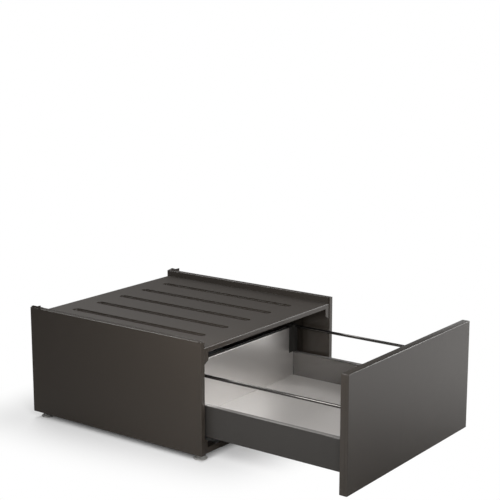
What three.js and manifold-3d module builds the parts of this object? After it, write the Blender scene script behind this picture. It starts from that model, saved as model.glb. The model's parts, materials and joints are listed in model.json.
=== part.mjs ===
// Pedestal with a wide drawer, for a laundry machine to stand on: a folded sheet-steel cabinet on
// four levelling feet, and a double-walled steel drawer on telescopic ball runners, drawn open.
// Millimetres, +Z up, +Y to the back, the drawer opens along -Y.
//
// Pieces are written in the cabinet's own coordinates: x = 0 in the middle, y = 0 at the front edge
// of the cabinet, z = 0 at the bottom edge of its side panels, and with the drawer shut. Nested
// groups then draw the moving pieces out and put the whole part on its feet. "inset" is a distance
// inwards from the outer face of the left side panel; right-hand pieces are mirror images.
import * as THREE from "three";
import { mergeVertices } from "three/addons/utils/BufferGeometryUtils.js";
import Module from "manifold-3d";

const wasm = await Module();
wasm.setup();

// ---------------------------------------------------------------- driving dimensions
const CABINET_WIDTH = 596;
const CABINET_DEPTH = 600;
const PANEL_HEIGHT = 297; // side panels, bottom edge to top edge
const FIT = 0.3; // gap between pieces that seat on each other

const SIDE_SHEET = 1.2; // side panels' steel
const BEND = 0.8; // inside radius of their folds
const POST_WIDTH = 16; // folded front post, seen from the front, and the rim that meets it on top
const POST_DEPTH = 91; // how far the post's inner wall runs back
const RIM_DROP = 27; // inner leg of the rim, down past the deck
const FLANGE_WIDTH = 20; // bottom flange
const REAR_FLANGE = 16;
const NOTCH = { at: 3.5, length: 4.5, depth: 2 }; // bend relief in the rim, by the front corner

const DECK_DROP = 17; // deck surface below the side panels' top edge
const DECK_SHEET = 1.5;
const DECK_NOSE = 1.5; // inside radius of the deck's front fold
const FRONT_SETBACK = 2; // front faces of deck and bottom rail, behind the posts' faces
const DECK_FACE = 15; // height of the deck's folded front face
const DECK_LIP = 8; // return under that face
const DECK_REAR_FLANGE = 18;
const EAR_WIDTH = 16; // chamfered ears at the ends of the front face
const EAR_DROP = 35; // lowest point of an ear's inner edge, below the deck
const EAR_CHAMFER = 10;
const BEAD = { count: 5, pitch: 96, width: 26, depth: 4, front: 70, rear: 60 }; // pressed in the deck

const RAIL_SHEET = 1.2; // hidden rails
const TOP_RAIL = { depth: 34, height: 20, lip: 10 };
const BOTTOM_RAIL_HEIGHT = 19;
const BOTTOM_RAIL_DEPTH = 20;
const BOTTOM_FLANGE_ROOM = 24; // from a foot bracket to where the bottom rail's flanges begin
const BOTTOM_EAR = { width: 11, top: 36, chamfer: 6 };
const REAR_RAIL = { height: 28, depth: 20 };

const BACK_SHEET = 1;
const BACK_INSET = 1.5; // back panel's edge inside the side panels' faces
const BACK_BEAD = { width: 30, depth: 4, margin: 45, edge: 80 }; // edge: from the floor and the deck

const FOOT_HEIGHT = 18; // floor to the side panels' bottom edge, feet screwed right in
const FOOT_INSET = 29;
const FOOT_SETBACK = 27; // from the cabinet's front or rear face
const PAD = { diameter: 36, height: 10, lip: 3, neck: 22, edge: 1 };
const STUD = { diameter: 10, clearance: 0.4, top: 34, seat: 4 }; // seat: depth of its end in the pad
const NUT = { wall: 3.5, height: 7 };
const BRACKET = { length: 56, width: 45, sheet: 2, flange: 14 };

const STOP = { width: 11, base: 2, blade: 2, start: 37, length: 34 }; // rear machine stops, on the rims
const STOP_EDGE = { front: 9, dip: 4.5, rear: 5.5, dipAt: 15, rearAt: 28, frontCorner: 1, rearCorner: 2 };

const DRAWER_TRAVEL = 450; // shut to fully open
const DRAWER_OPEN = 406; // how far it is drawn here
const SHUT_GAP = 2; // drawer front to cabinet, on its bumpers
const FRONT_THICKNESS = 22;
const FRONT_TOP_GAP = 2.5; // front's top edge below the side panels' top
const SKIN = 1; // sheet of the drawer front's two pans
const SKIN_RETURN = 8; // depth of the outer pan's edge, where the seam shows
const SKIN_ROUND = 1.5;

const DRAWER_SIDE_GAP = 9; // front post to the drawer side's outer face
const DRAWER_SIDE_WIDTH = 16; // double wall
const DRAWER_SIDE_BOTTOM = 45;
const DRAWER_SIDE_HEIGHT = 82;
const DRAWER_SHEET = 1;
const DRAWER_ROUND = 2; // inside radius at the top of the double wall
const FLOOR_SEAT = 12; // flange that carries the floor
const FLOOR_BOARD = 16;
const FLOOR_RISE = 12.5; // floor's top above the drawer side's bottom edge
const DRAWER_REAR_ROOM = 72; // behind the shut drawer, to the cabinet's rear face
const BACK_WALL_RISE = 0.5; // back wall's top above the railings' middle
const BACK_WALL_SHEET = 1.2;
const BACK_WALL_FLANGE = 15;
const BACK_WALL_LIP = 6;

const RAILING_DIAMETER = 8;
const RAILING_DROP = 78.5; // railings' middle below the deck
const SOCKET = { diameter: 16, length: 12, depth: 10 };
const BACK_BRACKET = { wall: 2.5, depth: 16, column: 16.5, reach: 22, proud: 4, rise: 5.5, cover: 2 };
const TONGUE = { under: 2, over: 4, length: 24, wall: 1.5 }; // what plugs in the double wall
const FRONT_BRACKET_LENGTH = 60;
const BRACKET_HOLES = { diameter: 6, shares: [0.4, 0.75] };
const BUMPER = { diameter: 9, inset: 8, margin: 16 };

// Telescopic runner: heights are half heights about its middle line, along the drawer side's hollow.
const RUNNER_HALF = 20.8; // cabinet member
const RUNNER_RISE = 1.4; // its lower edge above the drawer side's bottom edge
const RUNNER_ROOM = 2; // free space above the runner
const RUNNER_FRONT = 5;
const RUNNER_REAR_ROOM = 67; // behind the member on the cabinet
const MIDDLE_SHORTER = 28; // middle member than the cabinet's
const DRAWER_MEMBER_ROOM = 1; // drawer's member to the back wall
const MEMBER_SHEET = 1;
const LIP_SHARE = { outer: 0.32, inner: 0.24 }; // of the height that the balls take up
const STOP_TAB = 2;
const BALL_PLAY = 0.2; // each side of a ball
const BALL_EDGE = 0.9; // from the tip of the drawer's member to the balls, measured across
const WEB_CLEAR = 0.5; // outer web to the double wall, and the drawer member's tip to its cage
const WEB_GAP = 0.4; // between webs and the cage web that runs between them
const ARM_ROOM = 1.8; // arms' ends to the double wall's inner sheet
const CAGE_SHEET = 0.6;
const CAGE_LENGTH = 270;
const CAGE_ROOM = 7.5; // left in front of a cage when the drawer is fully open
const BALLS_PER_ROW = 5;
const FOOT_DROP = 4; // runner's foot flange, below the drawer side that it passes under
const FOOT_LAP = 2; // overlap of the foot's leg with the web
const HOLDER = { sheet: 1.5, upright: 26, frontAt: 15, frontLength: 62, rearLength: 50, rearRoom: 13 };

const FOLD_STEPS = 3; // flats in a rounded fold
const CURVE_STEPS = 6; // points in a drawn arc
const PAST = 1; // how far a cutter runs past what it cuts

// ---------------------------------------------------------------- derived places
const HALF = CABINET_WIDTH / 2;
const RIM_WIDTH = POST_WIDTH; // raised rim along the top of each side
const DECK_TOP = PANEL_HEIGHT - DECK_DROP;
const FRONT_BACK = -SHUT_GAP; // back face of the drawer front
const FRONT_FACE = FRONT_BACK - FRONT_THICKNESS;
const FRONT_HEIGHT = PANEL_HEIGHT - FRONT_TOP_GAP;
const DRAWER_START = FRONT_BACK + FIT;
const BACK_WALL_AT = CABINET_DEPTH - DRAWER_REAR_ROOM - BACK_BRACKET.depth;
const BACK_PANEL_FRONT = CABINET_DEPTH - SIDE_SHEET - FIT - BACK_SHEET;
const FOOT_BRACKET_EDGE = POST_WIDTH + FIT + BRACKET.width; // inset of its inner edge
const BOTTOM_FLANGE_START = FOOT_BRACKET_EDGE - FIT + BOTTOM_FLANGE_ROOM;
const NUT_RADIUS = STUD.diameter / 2 + NUT.wall;

const DRAWER_INSET = POST_WIDTH + DRAWER_SIDE_GAP; // inset of the drawer side's outer face
const DRAWER_SIDE_TOP = DRAWER_SIDE_BOTTOM + DRAWER_SIDE_HEIGHT;
const INNER_WALL = DRAWER_INSET + DRAWER_SIDE_WIDTH; // inset of the drawer side's inner face
const HOLLOW = [DRAWER_INSET + DRAWER_SHEET, INNER_WALL - DRAWER_SHEET]; // insets of its hollow
const FLOOR_TOP = DRAWER_SIDE_BOTTOM + FLOOR_RISE;
const FLOOR_BOTTOM = FLOOR_TOP - FLOOR_BOARD;
const RAILING_INSET = DRAWER_INSET + DRAWER_SIDE_WIDTH / 2;
const RAILING_HEIGHT = DECK_TOP - RAILING_DROP;
const BACK_WALL_TOP = RAILING_HEIGHT + BACK_WALL_RISE;
// Inset of the rear bracket's outer face, which covers the railing's end.
const BACK_BRACKET_OUTER = RAILING_INSET - RAILING_DIAMETER / 2 - BACK_BRACKET.cover;
const BACK_BRACKET_INNER = INNER_WALL + BACK_BRACKET.reach;

const RUNNER_MIDDLE = DRAWER_SIDE_BOTTOM + RUNNER_RISE + RUNNER_HALF;
const RUNNER_TOP = RUNNER_MIDDLE + RUNNER_HALF + RUNNER_ROOM; // nothing else comes lower in the hollow
const RUNNER_FOOT = DRAWER_SIDE_BOTTOM - FOOT_DROP; // underside of the foot flange
const RUNNER_REAR = CABINET_DEPTH - RUNNER_REAR_ROOM;
const TONGUE_BOTTOM = RUNNER_TOP + TONGUE.under;
const TONGUE_TOP = DRAWER_SIDE_TOP - DRAWER_SHEET - TONGUE.over;

const inset = (distance) => distance - HALF;

// ---------------------------------------------------------------- solids: joining and cutting
function solidOf(geometry) {
  const bare = geometry.clone();
  bare.deleteAttribute("normal");
  bare.deleteAttribute("uv");
  const merged = mergeVertices(bare, 1e-4);
  const index = merged.index ? merged.index.array : [...merged.attributes.position.array.keys()];
  return new wasm.Manifold(
    new wasm.Mesh({
      numProp: 3,
      vertProperties: new Float32Array(merged.attributes.position.array),
      triVerts: new Uint32Array(index),
    }),
  );
}

function geometryOf(solid, mirror = false) {
  const { vertProperties, triVerts, numProp } = solid.getMesh();
  const position = new Float32Array((vertProperties.length / numProp) * 3);
  for (let i = 0, j = 0; i < vertProperties.length; i += numProp, j += 3) {
    position[j] = mirror ? -vertProperties[i] : vertProperties[i];
    position[j + 1] = vertProperties[i + 1];
    position[j + 2] = vertProperties[i + 2];
  }
  const index = Array.from(triVerts);
  if (mirror) {
    for (let i = 0; i < index.length; i += 3) {
      [index[i + 1], index[i + 2]] = [index[i + 2], index[i + 1]];
    }
  }
  const geometry = new THREE.BufferGeometry();
  geometry.setAttribute("position", new THREE.BufferAttribute(position, 3));
  geometry.setIndex(index);
  return geometry;
}

const join = (first, ...rest) => rest.reduce((all, one) => all.add(one), first);
const cut = (first, ...rest) => rest.reduce((all, one) => all.subtract(one), first);

// ---------------------------------------------------------------- basic forms
function block(x0, x1, y0, y1, z0, z1) {
  const box = new THREE.BoxGeometry(x1 - x0, y1 - y0, z1 - z0);
  return solidOf(box.translate((x0 + x1) / 2, (y0 + y1) / 2, (z0 + z1) / 2));
}

// A 2-D outline pushed along an axis. Outlines are (y, z) along x, (x, z) along y, (x, y) along z.
function prism(outline, axis, from, to) {
  const shape = outline instanceof THREE.Shape ? outline : new THREE.Shape(outline);
  const options = { depth: to - from, bevelEnabled: false, curveSegments: CURVE_STEPS };
  const geometry = new THREE.ExtrudeGeometry(shape, options);
  const place = new THREE.Matrix4();
  if (axis === "x") place.makeBasis(unit(0, 1, 0), unit(0, 0, 1), unit(1, 0, 0)).setPosition(from, 0, 0);
  if (axis === "y") place.makeBasis(unit(1, 0, 0), unit(0, 0, 1), unit(0, -1, 0)).setPosition(0, to, 0);
  if (axis === "z") place.makeTranslation(0, 0, from);
  return solidOf(geometry.applyMatrix4(place));
}

const unit = (x, y, z) => new THREE.Vector3(x, y, z);
const points = (list) => list.map(([a, b]) => new THREE.Vector2(a, b));

// Outline of a folded sheet: the line of one face with rounded folds, and the other face beside it.
// side is +1 where the sheet's thickness lies left of the line's direction, and -1 where right.
function foldedSheet(line, sheet, side, radius) {
  const path = points(line);
  const face = [path[0].clone()];
  const leaving = path[1].clone().sub(path[0]).normalize();
  const back = [path[0].clone().add(leftOf(leaving).multiplyScalar(side * sheet))];
  for (let i = 1; i < path.length - 1; i++) {
    const coming = path[i].clone().sub(path[i - 1]).normalize();
    const going = path[i + 1].clone().sub(path[i]).normalize();
    const turn = Math.atan2(coming.cross(going), coming.dot(going));
    const inside = Math.sign(turn) === side; // the far face is on the inside of this fold
    const reach = inside ? radius + sheet : radius;
    const start = path[i].clone().addScaledVector(coming, -reach * Math.tan(Math.abs(turn) / 2));
    const toCentre = leftOf(coming).multiplyScalar(Math.sign(turn));
    const centre = start.clone().addScaledVector(toCentre, reach);
    for (let k = 0; k <= FOLD_STEPS; k++) {
      const angle = (turn * k) / FOLD_STEPS;
      const arm = toCentre.clone().negate().rotateAround(new THREE.Vector2(), angle);
      face.push(centre.clone().addScaledVector(arm, reach));
      back.push(centre.clone().addScaledVector(arm, inside ? reach - sheet : reach + sheet));
    }
  }
  const last = path.at(-1);
  const ending = last.clone().sub(path.at(-2)).normalize();
  face.push(last.clone());
  back.push(last.clone().add(leftOf(ending).multiplyScalar(side * sheet)));
  return face.concat(back.reverse());
}

const leftOf = (direction) => new THREE.Vector2(-direction.y, direction.x);

function rod(radius, from, to, axis, x, y, z, sides = 24) {
  const cylinder = new THREE.CylinderGeometry(radius, radius, to - from, sides);
  if (axis === "z") cylinder.rotateX(Math.PI / 2).translate(x, y, (from + to) / 2);
  if (axis === "y") cylinder.translate(x, (from + to) / 2, z);
  return solidOf(cylinder);
}

// A stadium: a slot or bead with round ends, long along y.
function stadium(width, y0, y1, z0, z1, x = 0) {
  const r = width / 2;
  const shape = new THREE.Shape();
  shape.absarc(x, y0 + r, r, Math.PI, 2 * Math.PI);
  shape.absarc(x, y1 - r, r, 0, Math.PI);
  return prism(shape, "z", z0, z1);
}

// ---------------------------------------------------------------- cabinet
function sidePanel() {
  const t = SIDE_SHEET;
  const round = BEND + t;
  const plan = foldedSheet(
    [
      [inset(POST_WIDTH), POST_DEPTH],
      [inset(POST_WIDTH), 0],
      [inset(0), 0],
      [inset(0), CABINET_DEPTH],
      [inset(REAR_FLANGE), CABINET_DEPTH],
    ],
    t, -1, BEND,
  );
  const rim = foldedSheet(
    [
      [inset(0), DECK_TOP],
      [inset(0), PANEL_HEIGHT],
      [inset(RIM_WIDTH), PANEL_HEIGHT],
      [inset(RIM_WIDTH), PANEL_HEIGHT - RIM_DROP],
    ],
    t, -1, BEND,
  );
  // Everything stays inside one envelope, whose top outer edge is round like the rim's fold.
  const envelope = new THREE.Shape();
  envelope.moveTo(inset(0), 0).lineTo(inset(RIM_WIDTH), 0).lineTo(inset(RIM_WIDTH), PANEL_HEIGHT);
  envelope.lineTo(inset(round), PANEL_HEIGHT);
  envelope.absarc(inset(round), PANEL_HEIGHT - round, round, Math.PI / 2, Math.PI);
  const walls = prism(plan, "z", 0, PANEL_HEIGHT).intersect(prism(envelope, "y", 0, CABINET_DEPTH));
  const flange = block(inset(0), inset(FLANGE_WIDTH), round, CABINET_DEPTH - round, 0, t);
  const relief = block(
    inset(-PAST), inset(round), NOTCH.at, NOTCH.at + NOTCH.length,
    PANEL_HEIGHT - NOTCH.depth, PANEL_HEIGHT + PAST,
  );
  const panel = join(walls, prism(rim, "y", t, CABINET_DEPTH - t), flange);
  return cut(panel, relief);
}

// The deck, its rounded nose, front face and ears, in one sheet. Its edges turn up inside the rims.
function deckPlate() {
  const t = DECK_SHEET;
  const edge = inset(RIM_WIDTH + FIT);
  const rear = BACK_PANEL_FRONT;
  const profile = foldedSheet(
    [
      [rear, DECK_TOP - DECK_REAR_FLANGE],
      [rear, DECK_TOP],
      [FRONT_SETBACK, DECK_TOP],
      [FRONT_SETBACK, DECK_TOP - DECK_FACE],
      [FRONT_SETBACK + DECK_LIP, DECK_TOP - DECK_FACE],
    ],
    t, 1, DECK_NOSE,
  );
  let deck = prism(profile, "x", edge, -edge);
  const earBottom = DECK_TOP - EAR_DROP;
  const ear = points([
    [edge, DECK_TOP - DECK_FACE / 2],
    [edge, earBottom - EAR_CHAMFER],
    [edge + EAR_WIDTH, earBottom],
    [edge + EAR_WIDTH, DECK_TOP - DECK_FACE / 2],
  ]);
  const upstand = [edge, edge + t, FRONT_SETBACK + DECK_NOSE + t, rear, DECK_TOP - t, PANEL_HEIGHT - FIT];
  for (const side of [1, -1]) {
    const outline = ear.map((p) => new THREE.Vector2(side * p.x, p.y));
    if (side > 0) outline.reverse();
    const [a, b] = [side * upstand[0], side * upstand[1]].sort((m, n) => m - n);
    deck = join(
      deck,
      prism(outline, "y", FRONT_SETBACK, FRONT_SETBACK + t),
      block(a, b, ...upstand.slice(2)),
    );
  }
  for (let i = 0; i < BEAD.count; i++) {
    const x = (i - (BEAD.count - 1) / 2) * BEAD.pitch;
    const ends = [BEAD.front, CABINET_DEPTH - BEAD.rear];
    deck = deck.add(stadium(BEAD.width, ...ends, DECK_TOP - t - BEAD.depth, DECK_TOP - t / 2, x));
    const inner = [ends[0] + t, ends[1] - t];
    deck = deck.subtract(
      stadium(BEAD.width - 2 * t, ...inner, DECK_TOP - BEAD.depth, DECK_TOP + PAST, x),
    );
  }
  return deck;
}

// Hat-shaped rail under the deck, from side to side; front is the y of its front wall.
function topRail(front) {
  const top = DECK_TOP - DECK_SHEET;
  const bottom = top - TOP_RAIL.height;
  const profile = foldedSheet(
    [
      [front - TOP_RAIL.lip, top],
      [front, top],
      [front, bottom],
      [front + TOP_RAIL.depth, bottom],
      [front + TOP_RAIL.depth, top],
      [front + TOP_RAIL.depth + TOP_RAIL.lip, top],
    ],
    RAIL_SHEET, -1, BEND,
  );
  const edge = inset(RIM_WIDTH + FIT);
  return prism(profile, "x", edge, -edge);
}

function frontBottomRail() {
  const t = RAIL_SHEET;
  const edge = inset(POST_WIDTH + FIT);
  const start = inset(BOTTOM_FLANGE_START);
  const channel = foldedSheet(
    [
      [FRONT_SETBACK + BOTTOM_RAIL_DEPTH, BOTTOM_RAIL_HEIGHT],
      [FRONT_SETBACK, BOTTOM_RAIL_HEIGHT],
      [FRONT_SETBACK, 0],
      [FRONT_SETBACK + BOTTOM_RAIL_DEPTH, 0],
    ],
    t, 1, BEND,
  );
  const round = BEND + t;
  const face = block(
    edge, -edge, FRONT_SETBACK, FRONT_SETBACK + t, round, BOTTOM_RAIL_HEIGHT - round,
  );
  let rail = join(prism(channel, "x", start, -start), face);
  for (const side of [1, -1]) {
    const outline = points([
      [side * edge, round],
      [side * edge, BOTTOM_EAR.top + BOTTOM_EAR.chamfer],
      [side * (edge + BOTTOM_EAR.width), BOTTOM_EAR.top],
      [side * (edge + BOTTOM_EAR.width), round],
    ]);
    if (side > 0) outline.reverse();
    rail = rail.add(prism(outline, "y", FRONT_SETBACK, FRONT_SETBACK + t));
  }
  return rail;
}

function rearBottomRail() {
  const edge = inset(FOOT_BRACKET_EDGE + FIT);
  const wall = BACK_PANEL_FRONT;
  const profile = foldedSheet(
    [
      [wall - REAR_RAIL.depth, SIDE_SHEET],
      [wall, SIDE_SHEET],
      [wall, SIDE_SHEET + REAR_RAIL.height],
      [wall - REAR_RAIL.depth / 2, SIDE_SHEET + REAR_RAIL.height],
    ],
    RAIL_SHEET, 1, BEND,
  );
  return prism(profile, "x", edge, -edge);
}

// Flat back sheet with two beads pressed inwards.
function backPanel() {
  const [front, rear] = [BACK_PANEL_FRONT, BACK_PANEL_FRONT + BACK_SHEET];
  const edge = inset(BACK_INSET);
  let sheet = block(edge, -edge, front, rear, SIDE_SHEET, DECK_TOP - DECK_SHEET);
  for (const height of [BACK_BEAD.edge, DECK_TOP - BACK_BEAD.edge]) {
    const bead = (width, y0, y1) => {
      const r = width / 2;
      const end = edge + BACK_BEAD.margin + BACK_BEAD.width / 2;
      const shape = new THREE.Shape();
      shape.absarc(end, height, r, Math.PI / 2, 1.5 * Math.PI);
      shape.absarc(-end, height, r, -Math.PI / 2, Math.PI / 2);
      return prism(shape, "y", y0, y1);
    };
    sheet = sheet.add(bead(BACK_BEAD.width, front - BACK_BEAD.depth, rear - BACK_SHEET / 2));
    const hollow = BACK_BEAD.width - 2 * BACK_SHEET;
    sheet = sheet.subtract(bead(hollow, front - BACK_BEAD.depth + BACK_SHEET, rear + PAST));
  }
  // The top corners are notched for the inner legs of the rims.
  const [under, over] = [PANEL_HEIGHT - RIM_DROP - FIT, PANEL_HEIGHT];
  for (const side of [1, -1]) {
    const [a, b] = [side * inset(0), side * inset(RIM_WIDTH + FIT)].sort((m, n) => m - n);
    sheet = sheet.subtract(block(a, b, front - PAST, rear + PAST, under, over));
  }
  return sheet;
}

// Corner plate with turned-up edges and a welded nut, from the post's inner wall inwards.
function footBracket() {
  const { length, width, sheet, flange } = BRACKET;
  const x0 = inset(POST_WIDTH + FIT);
  const x1 = x0 + width;
  const y0 = FRONT_SETBACK + RAIL_SHEET + FIT;
  const y1 = y0 + length;
  const [z0, z1] = [SIDE_SHEET, SIDE_SHEET + sheet];
  const plate = block(x0, x1, y0, y1, z0, z1);
  const edgeIn = block(x1 - sheet, x1, y0, y1, z0, z1 + flange);
  const edgeBack = block(x0, x1, y1 - sheet, y1, z0, z1 + flange);
  const top = z1 + NUT.height;
  const nut = rod(NUT_RADIUS, z0, top, "z", inset(FOOT_INSET), FOOT_SETBACK, 0, 6);
  return cut(join(plate, edgeIn, edgeBack, nut), studHole(z0, top));
}

function studHole(from, to) {
  const radius = STUD.diameter / 2 + STUD.clearance;
  return rod(radius, from - PAST, to + PAST, "z", inset(FOOT_INSET), FOOT_SETBACK, 0, 16);
}

// Screw and swivel pad, as one goes into the other; both about the foot's own axis.
function footStud() {
  const [x, y] = [inset(FOOT_INSET), FOOT_SETBACK];
  const padTop = PAD.height - FOOT_HEIGHT;
  return rod(STUD.diameter / 2, padTop - STUD.seat, STUD.top, "z", x, y, 0, 16);
}

function footPad() {
  const r = PAD.diameter / 2;
  const socket = STUD.diameter / 2 + FIT;
  const base = -FOOT_HEIGHT;
  const top = base + PAD.height;
  const profile = points([
    [0, base],
    [r - PAD.edge, base],
    [r, base + PAD.edge],
    [r, base + PAD.lip],
    [PAD.neck / 2, top],
    [socket, top],
    [socket, top - STUD.seat - FIT],
    [0, top - STUD.seat - FIT],
  ]);
  const lathe = new THREE.LatheGeometry(profile, 32);
  return solidOf(lathe.rotateX(Math.PI / 2).translate(inset(FOOT_INSET), FOOT_SETBACK, 0));
}

function footNut() {
  const [x, y] = [inset(FOOT_INSET), FOOT_SETBACK];
  const [z0, z1] = [SIDE_SHEET - NUT.height, SIDE_SHEET];
  return cut(rod(NUT_RADIUS, z0, z1, "z", x, y, 0, 6), studHole(z0, z1));
}

// Bent tab on the rim that keeps the machine from creeping backwards.
function rearStop() {
  const edge = STOP_EDGE;
  const front = CABINET_DEPTH - STOP.start;
  const rear = front + STOP.length;
  const blade = points([
    [front, PANEL_HEIGHT],
    [rear, PANEL_HEIGHT],
    [rear, PANEL_HEIGHT + edge.rear - edge.rearCorner],
    [front + edge.rearAt, PANEL_HEIGHT + edge.rear],
    [front + edge.dipAt, PANEL_HEIGHT + edge.dip],
    [front + edge.frontCorner, PANEL_HEIGHT + edge.front],
    [front, PANEL_HEIGHT + edge.front - edge.frontCorner],
  ]);
  const x = inset((RIM_WIDTH - STOP.width) / 2);
  const base = block(x, x + STOP.width, front, rear, PANEL_HEIGHT, PANEL_HEIGHT + STOP.base);
  return join(base, prism(blade, "x", x, x + STOP.blade));
}

// ---------------------------------------------------------------- telescopic runners
// Insets of the webs, from the drawer side's outer wall inwards.
const OUTER_WEB = HOLLOW[0] + WEB_CLEAR;
const OUTER_CAGE_WEB = OUTER_WEB + MEMBER_SHEET + WEB_GAP;
const MIDDLE_WEB = OUTER_CAGE_WEB + CAGE_SHEET + WEB_GAP;
const INNER_CAGE_WEB = MIDDLE_WEB + MEMBER_SHEET + WEB_GAP;
const INNER_TIP = INNER_CAGE_WEB + CAGE_SHEET + WEB_CLEAR;
const ARM_END = HOLLOW[1] - ARM_ROOM;
// The balls take up the width that is left between the tip of one member and the lips of the others.
const BALL_SPAN = [INNER_TIP + BALL_EDGE, ARM_END - MEMBER_SHEET - FIT];
const BALL_RADIUS = (BALL_SPAN[1] - BALL_SPAN[0]) / 2;
const BALL_INSET = (BALL_SPAN[1] + BALL_SPAN[0]) / 2;
const BALL_HEIGHT = 2 * (BALL_RADIUS + BALL_PLAY);
const MEMBER_LIP = LIP_SHARE.outer * BALL_HEIGHT;
const INNER_LIP = LIP_SHARE.inner * BALL_HEIGHT;
// Half heights of the nested arms, from the outside in, each clearing its balls by BALL_PLAY.
const OUTER_BALLS = RUNNER_HALF - MEMBER_SHEET - BALL_PLAY - BALL_RADIUS;
const MIDDLE_HALF = OUTER_BALLS - BALL_RADIUS - BALL_PLAY;
const INNER_BALLS = MIDDLE_HALF - MEMBER_SHEET - BALL_PLAY - BALL_RADIUS;
const INNER_HALF = INNER_BALLS - BALL_RADIUS - BALL_PLAY;
// A cage goes a quarter of the drawer's way along the member that it rolls on.
const CAGE_START = RUNNER_FRONT + DRAWER_TRAVEL / 4 + CAGE_ROOM;

// Channel outline (x, z) about the runner's middle line. Its web is at insets web..web + sheet, its
// arms reach to the inset end, and its lips turn outwards (out = 1) or inwards (out = -1).
function channel(web, end, half, sheet, lip, out) {
  const s = Math.sign(end - web);
  const [w, e, t] = [inset(web), inset(end), s * sheet];
  const lower = [
    [w, -half],
    [e - (out > 0 ? t : 0), -half],
    [e - (out > 0 ? t : 0), -half - (out > 0 ? lip : 0)],
    [e, -half - (out > 0 ? lip : 0)],
    [e, -half + (out > 0 ? sheet : sheet + lip)],
    [e - (out > 0 ? 0 : t), -half + (out > 0 ? sheet : sheet + lip)],
    [e - (out > 0 ? 0 : t), -half + sheet],
    [w + t, -half + sheet],
  ];
  const outline = lower.concat(lower.map(([x, z]) => [x, -z]).reverse());
  const unique = outline.filter(([x, z], i) => {
    const [px, pz] = outline[(i + outline.length - 1) % outline.length];
    return x !== px || z !== pz;
  });
  const shape = points(unique.map(([x, z]) => [x, z + RUNNER_MIDDLE]));
  return s > 0 ? shape : shape.reverse();
}

function cabinetRunner() {
  const outline = channel(OUTER_WEB, ARM_END, RUNNER_HALF, MEMBER_SHEET, MEMBER_LIP, -1);
  const body = prism(outline, "y", RUNNER_FRONT, RUNNER_REAR);
  // A leg goes down past the drawer side's bottom edge and turns outwards to the holders.
  const foot = foldedSheet(
    [
      [inset(OUTER_WEB + MEMBER_SHEET), RUNNER_MIDDLE - RUNNER_HALF + FOOT_LAP],
      [inset(OUTER_WEB + MEMBER_SHEET), RUNNER_FOOT],
      [inset(POST_WIDTH + HOLDER.sheet + 2 * FIT), RUNNER_FOOT],
    ],
    MEMBER_SHEET, -1, MEMBER_SHEET / 2,
  );
  let runner = join(body, prism(foot, "y", RUNNER_FRONT, RUNNER_REAR));
  // Front and rear stop tabs, bent up from the web between the cages' ends and the member's ends.
  for (const y of [RUNNER_FRONT, RUNNER_REAR - STOP_TAB]) {
    const half = MIDDLE_HALF - 2 * MEMBER_SHEET;
    const tab = [inset(OUTER_WEB), inset(OUTER_CAGE_WEB), y, y + STOP_TAB];
    runner = runner.add(block(...tab, RUNNER_MIDDLE - half, RUNNER_MIDDLE + half));
  }
  return runner;
}

// Holder between the runner's foot and the cabinet wall at the inset wall.
function runnerHolder(wall, y0, length) {
  const seat = RUNNER_FOOT;
  const outline = foldedSheet(
    [
      [inset(wall), seat + HOLDER.upright],
      [inset(wall), seat - HOLDER.sheet],
      [inset(OUTER_WEB + MEMBER_SHEET), seat - HOLDER.sheet],
    ],
    HOLDER.sheet, 1, HOLDER.sheet / 3,
  );
  return prism(outline, "y", y0, y0 + length);
}

function middleRunner() {
  const outline = channel(MIDDLE_WEB, ARM_END, MIDDLE_HALF, MEMBER_SHEET, MEMBER_LIP, 1);
  return prism(outline, "y", RUNNER_FRONT, RUNNER_REAR - MIDDLE_SHORTER);
}

function drawerRunner() {
  const outline = channel(HOLLOW[1], INNER_TIP, INNER_HALF, MEMBER_SHEET, INNER_LIP, 1);
  return prism(outline, "y", RUNNER_FRONT, BACK_WALL_AT - DRAWER_MEMBER_ROOM);
}

// Cage strip with two rows of balls, held at half height half.
function ballCage(web, half) {
  const y0 = CAGE_START;
  const strip = channel(web, BALL_INSET + BALL_RADIUS - FIT, half + CAGE_SHEET / 2, CAGE_SHEET, 0, 1);
  let cage = prism(strip, "y", y0, y0 + CAGE_LENGTH);
  const pitch = CAGE_LENGTH / BALLS_PER_ROW;
  for (let i = 0; i < BALLS_PER_ROW; i++) {
    for (const side of [-1, 1]) {
      const ball = new THREE.IcosahedronGeometry(BALL_RADIUS, 1);
      ball.translate(inset(BALL_INSET), y0 + pitch * (i + 0.5), RUNNER_MIDDLE + side * half);
      cage = cage.add(solidOf(ball));
    }
  }
  return cage;
}

// ---------------------------------------------------------------- drawer
// Double wall folded from one sheet: outer wall, rounded top, inner wall, and the floor's seat.
function drawerSide() {
  const outline = foldedSheet(
    [
      [inset(DRAWER_INSET), DRAWER_SIDE_BOTTOM],
      [inset(DRAWER_INSET), DRAWER_SIDE_TOP],
      [inset(INNER_WALL), DRAWER_SIDE_TOP],
      [inset(INNER_WALL), FLOOR_BOTTOM],
      [inset(INNER_WALL + FLOOR_SEAT), FLOOR_BOTTOM],
    ],
    DRAWER_SHEET, -1, DRAWER_ROUND,
  );
  return prism(outline, "y", DRAWER_START, BACK_WALL_AT - FIT);
}

// Board with its lower long edges eased, to clear the fold of the seat that carries it.
function drawerFloor() {
  const edge = inset(INNER_WALL + FIT);
  const ease = DRAWER_ROUND + DRAWER_SHEET;
  const outline = points([
    [edge + ease, FLOOR_BOTTOM],
    [-edge - ease, FLOOR_BOTTOM],
    [-edge, FLOOR_BOTTOM + ease],
    [-edge, FLOOR_TOP],
    [edge, FLOOR_TOP],
    [edge, FLOOR_BOTTOM + ease],
  ]);
  return prism(outline, "y", DRAWER_START, BACK_WALL_AT - FIT);
}

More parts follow.
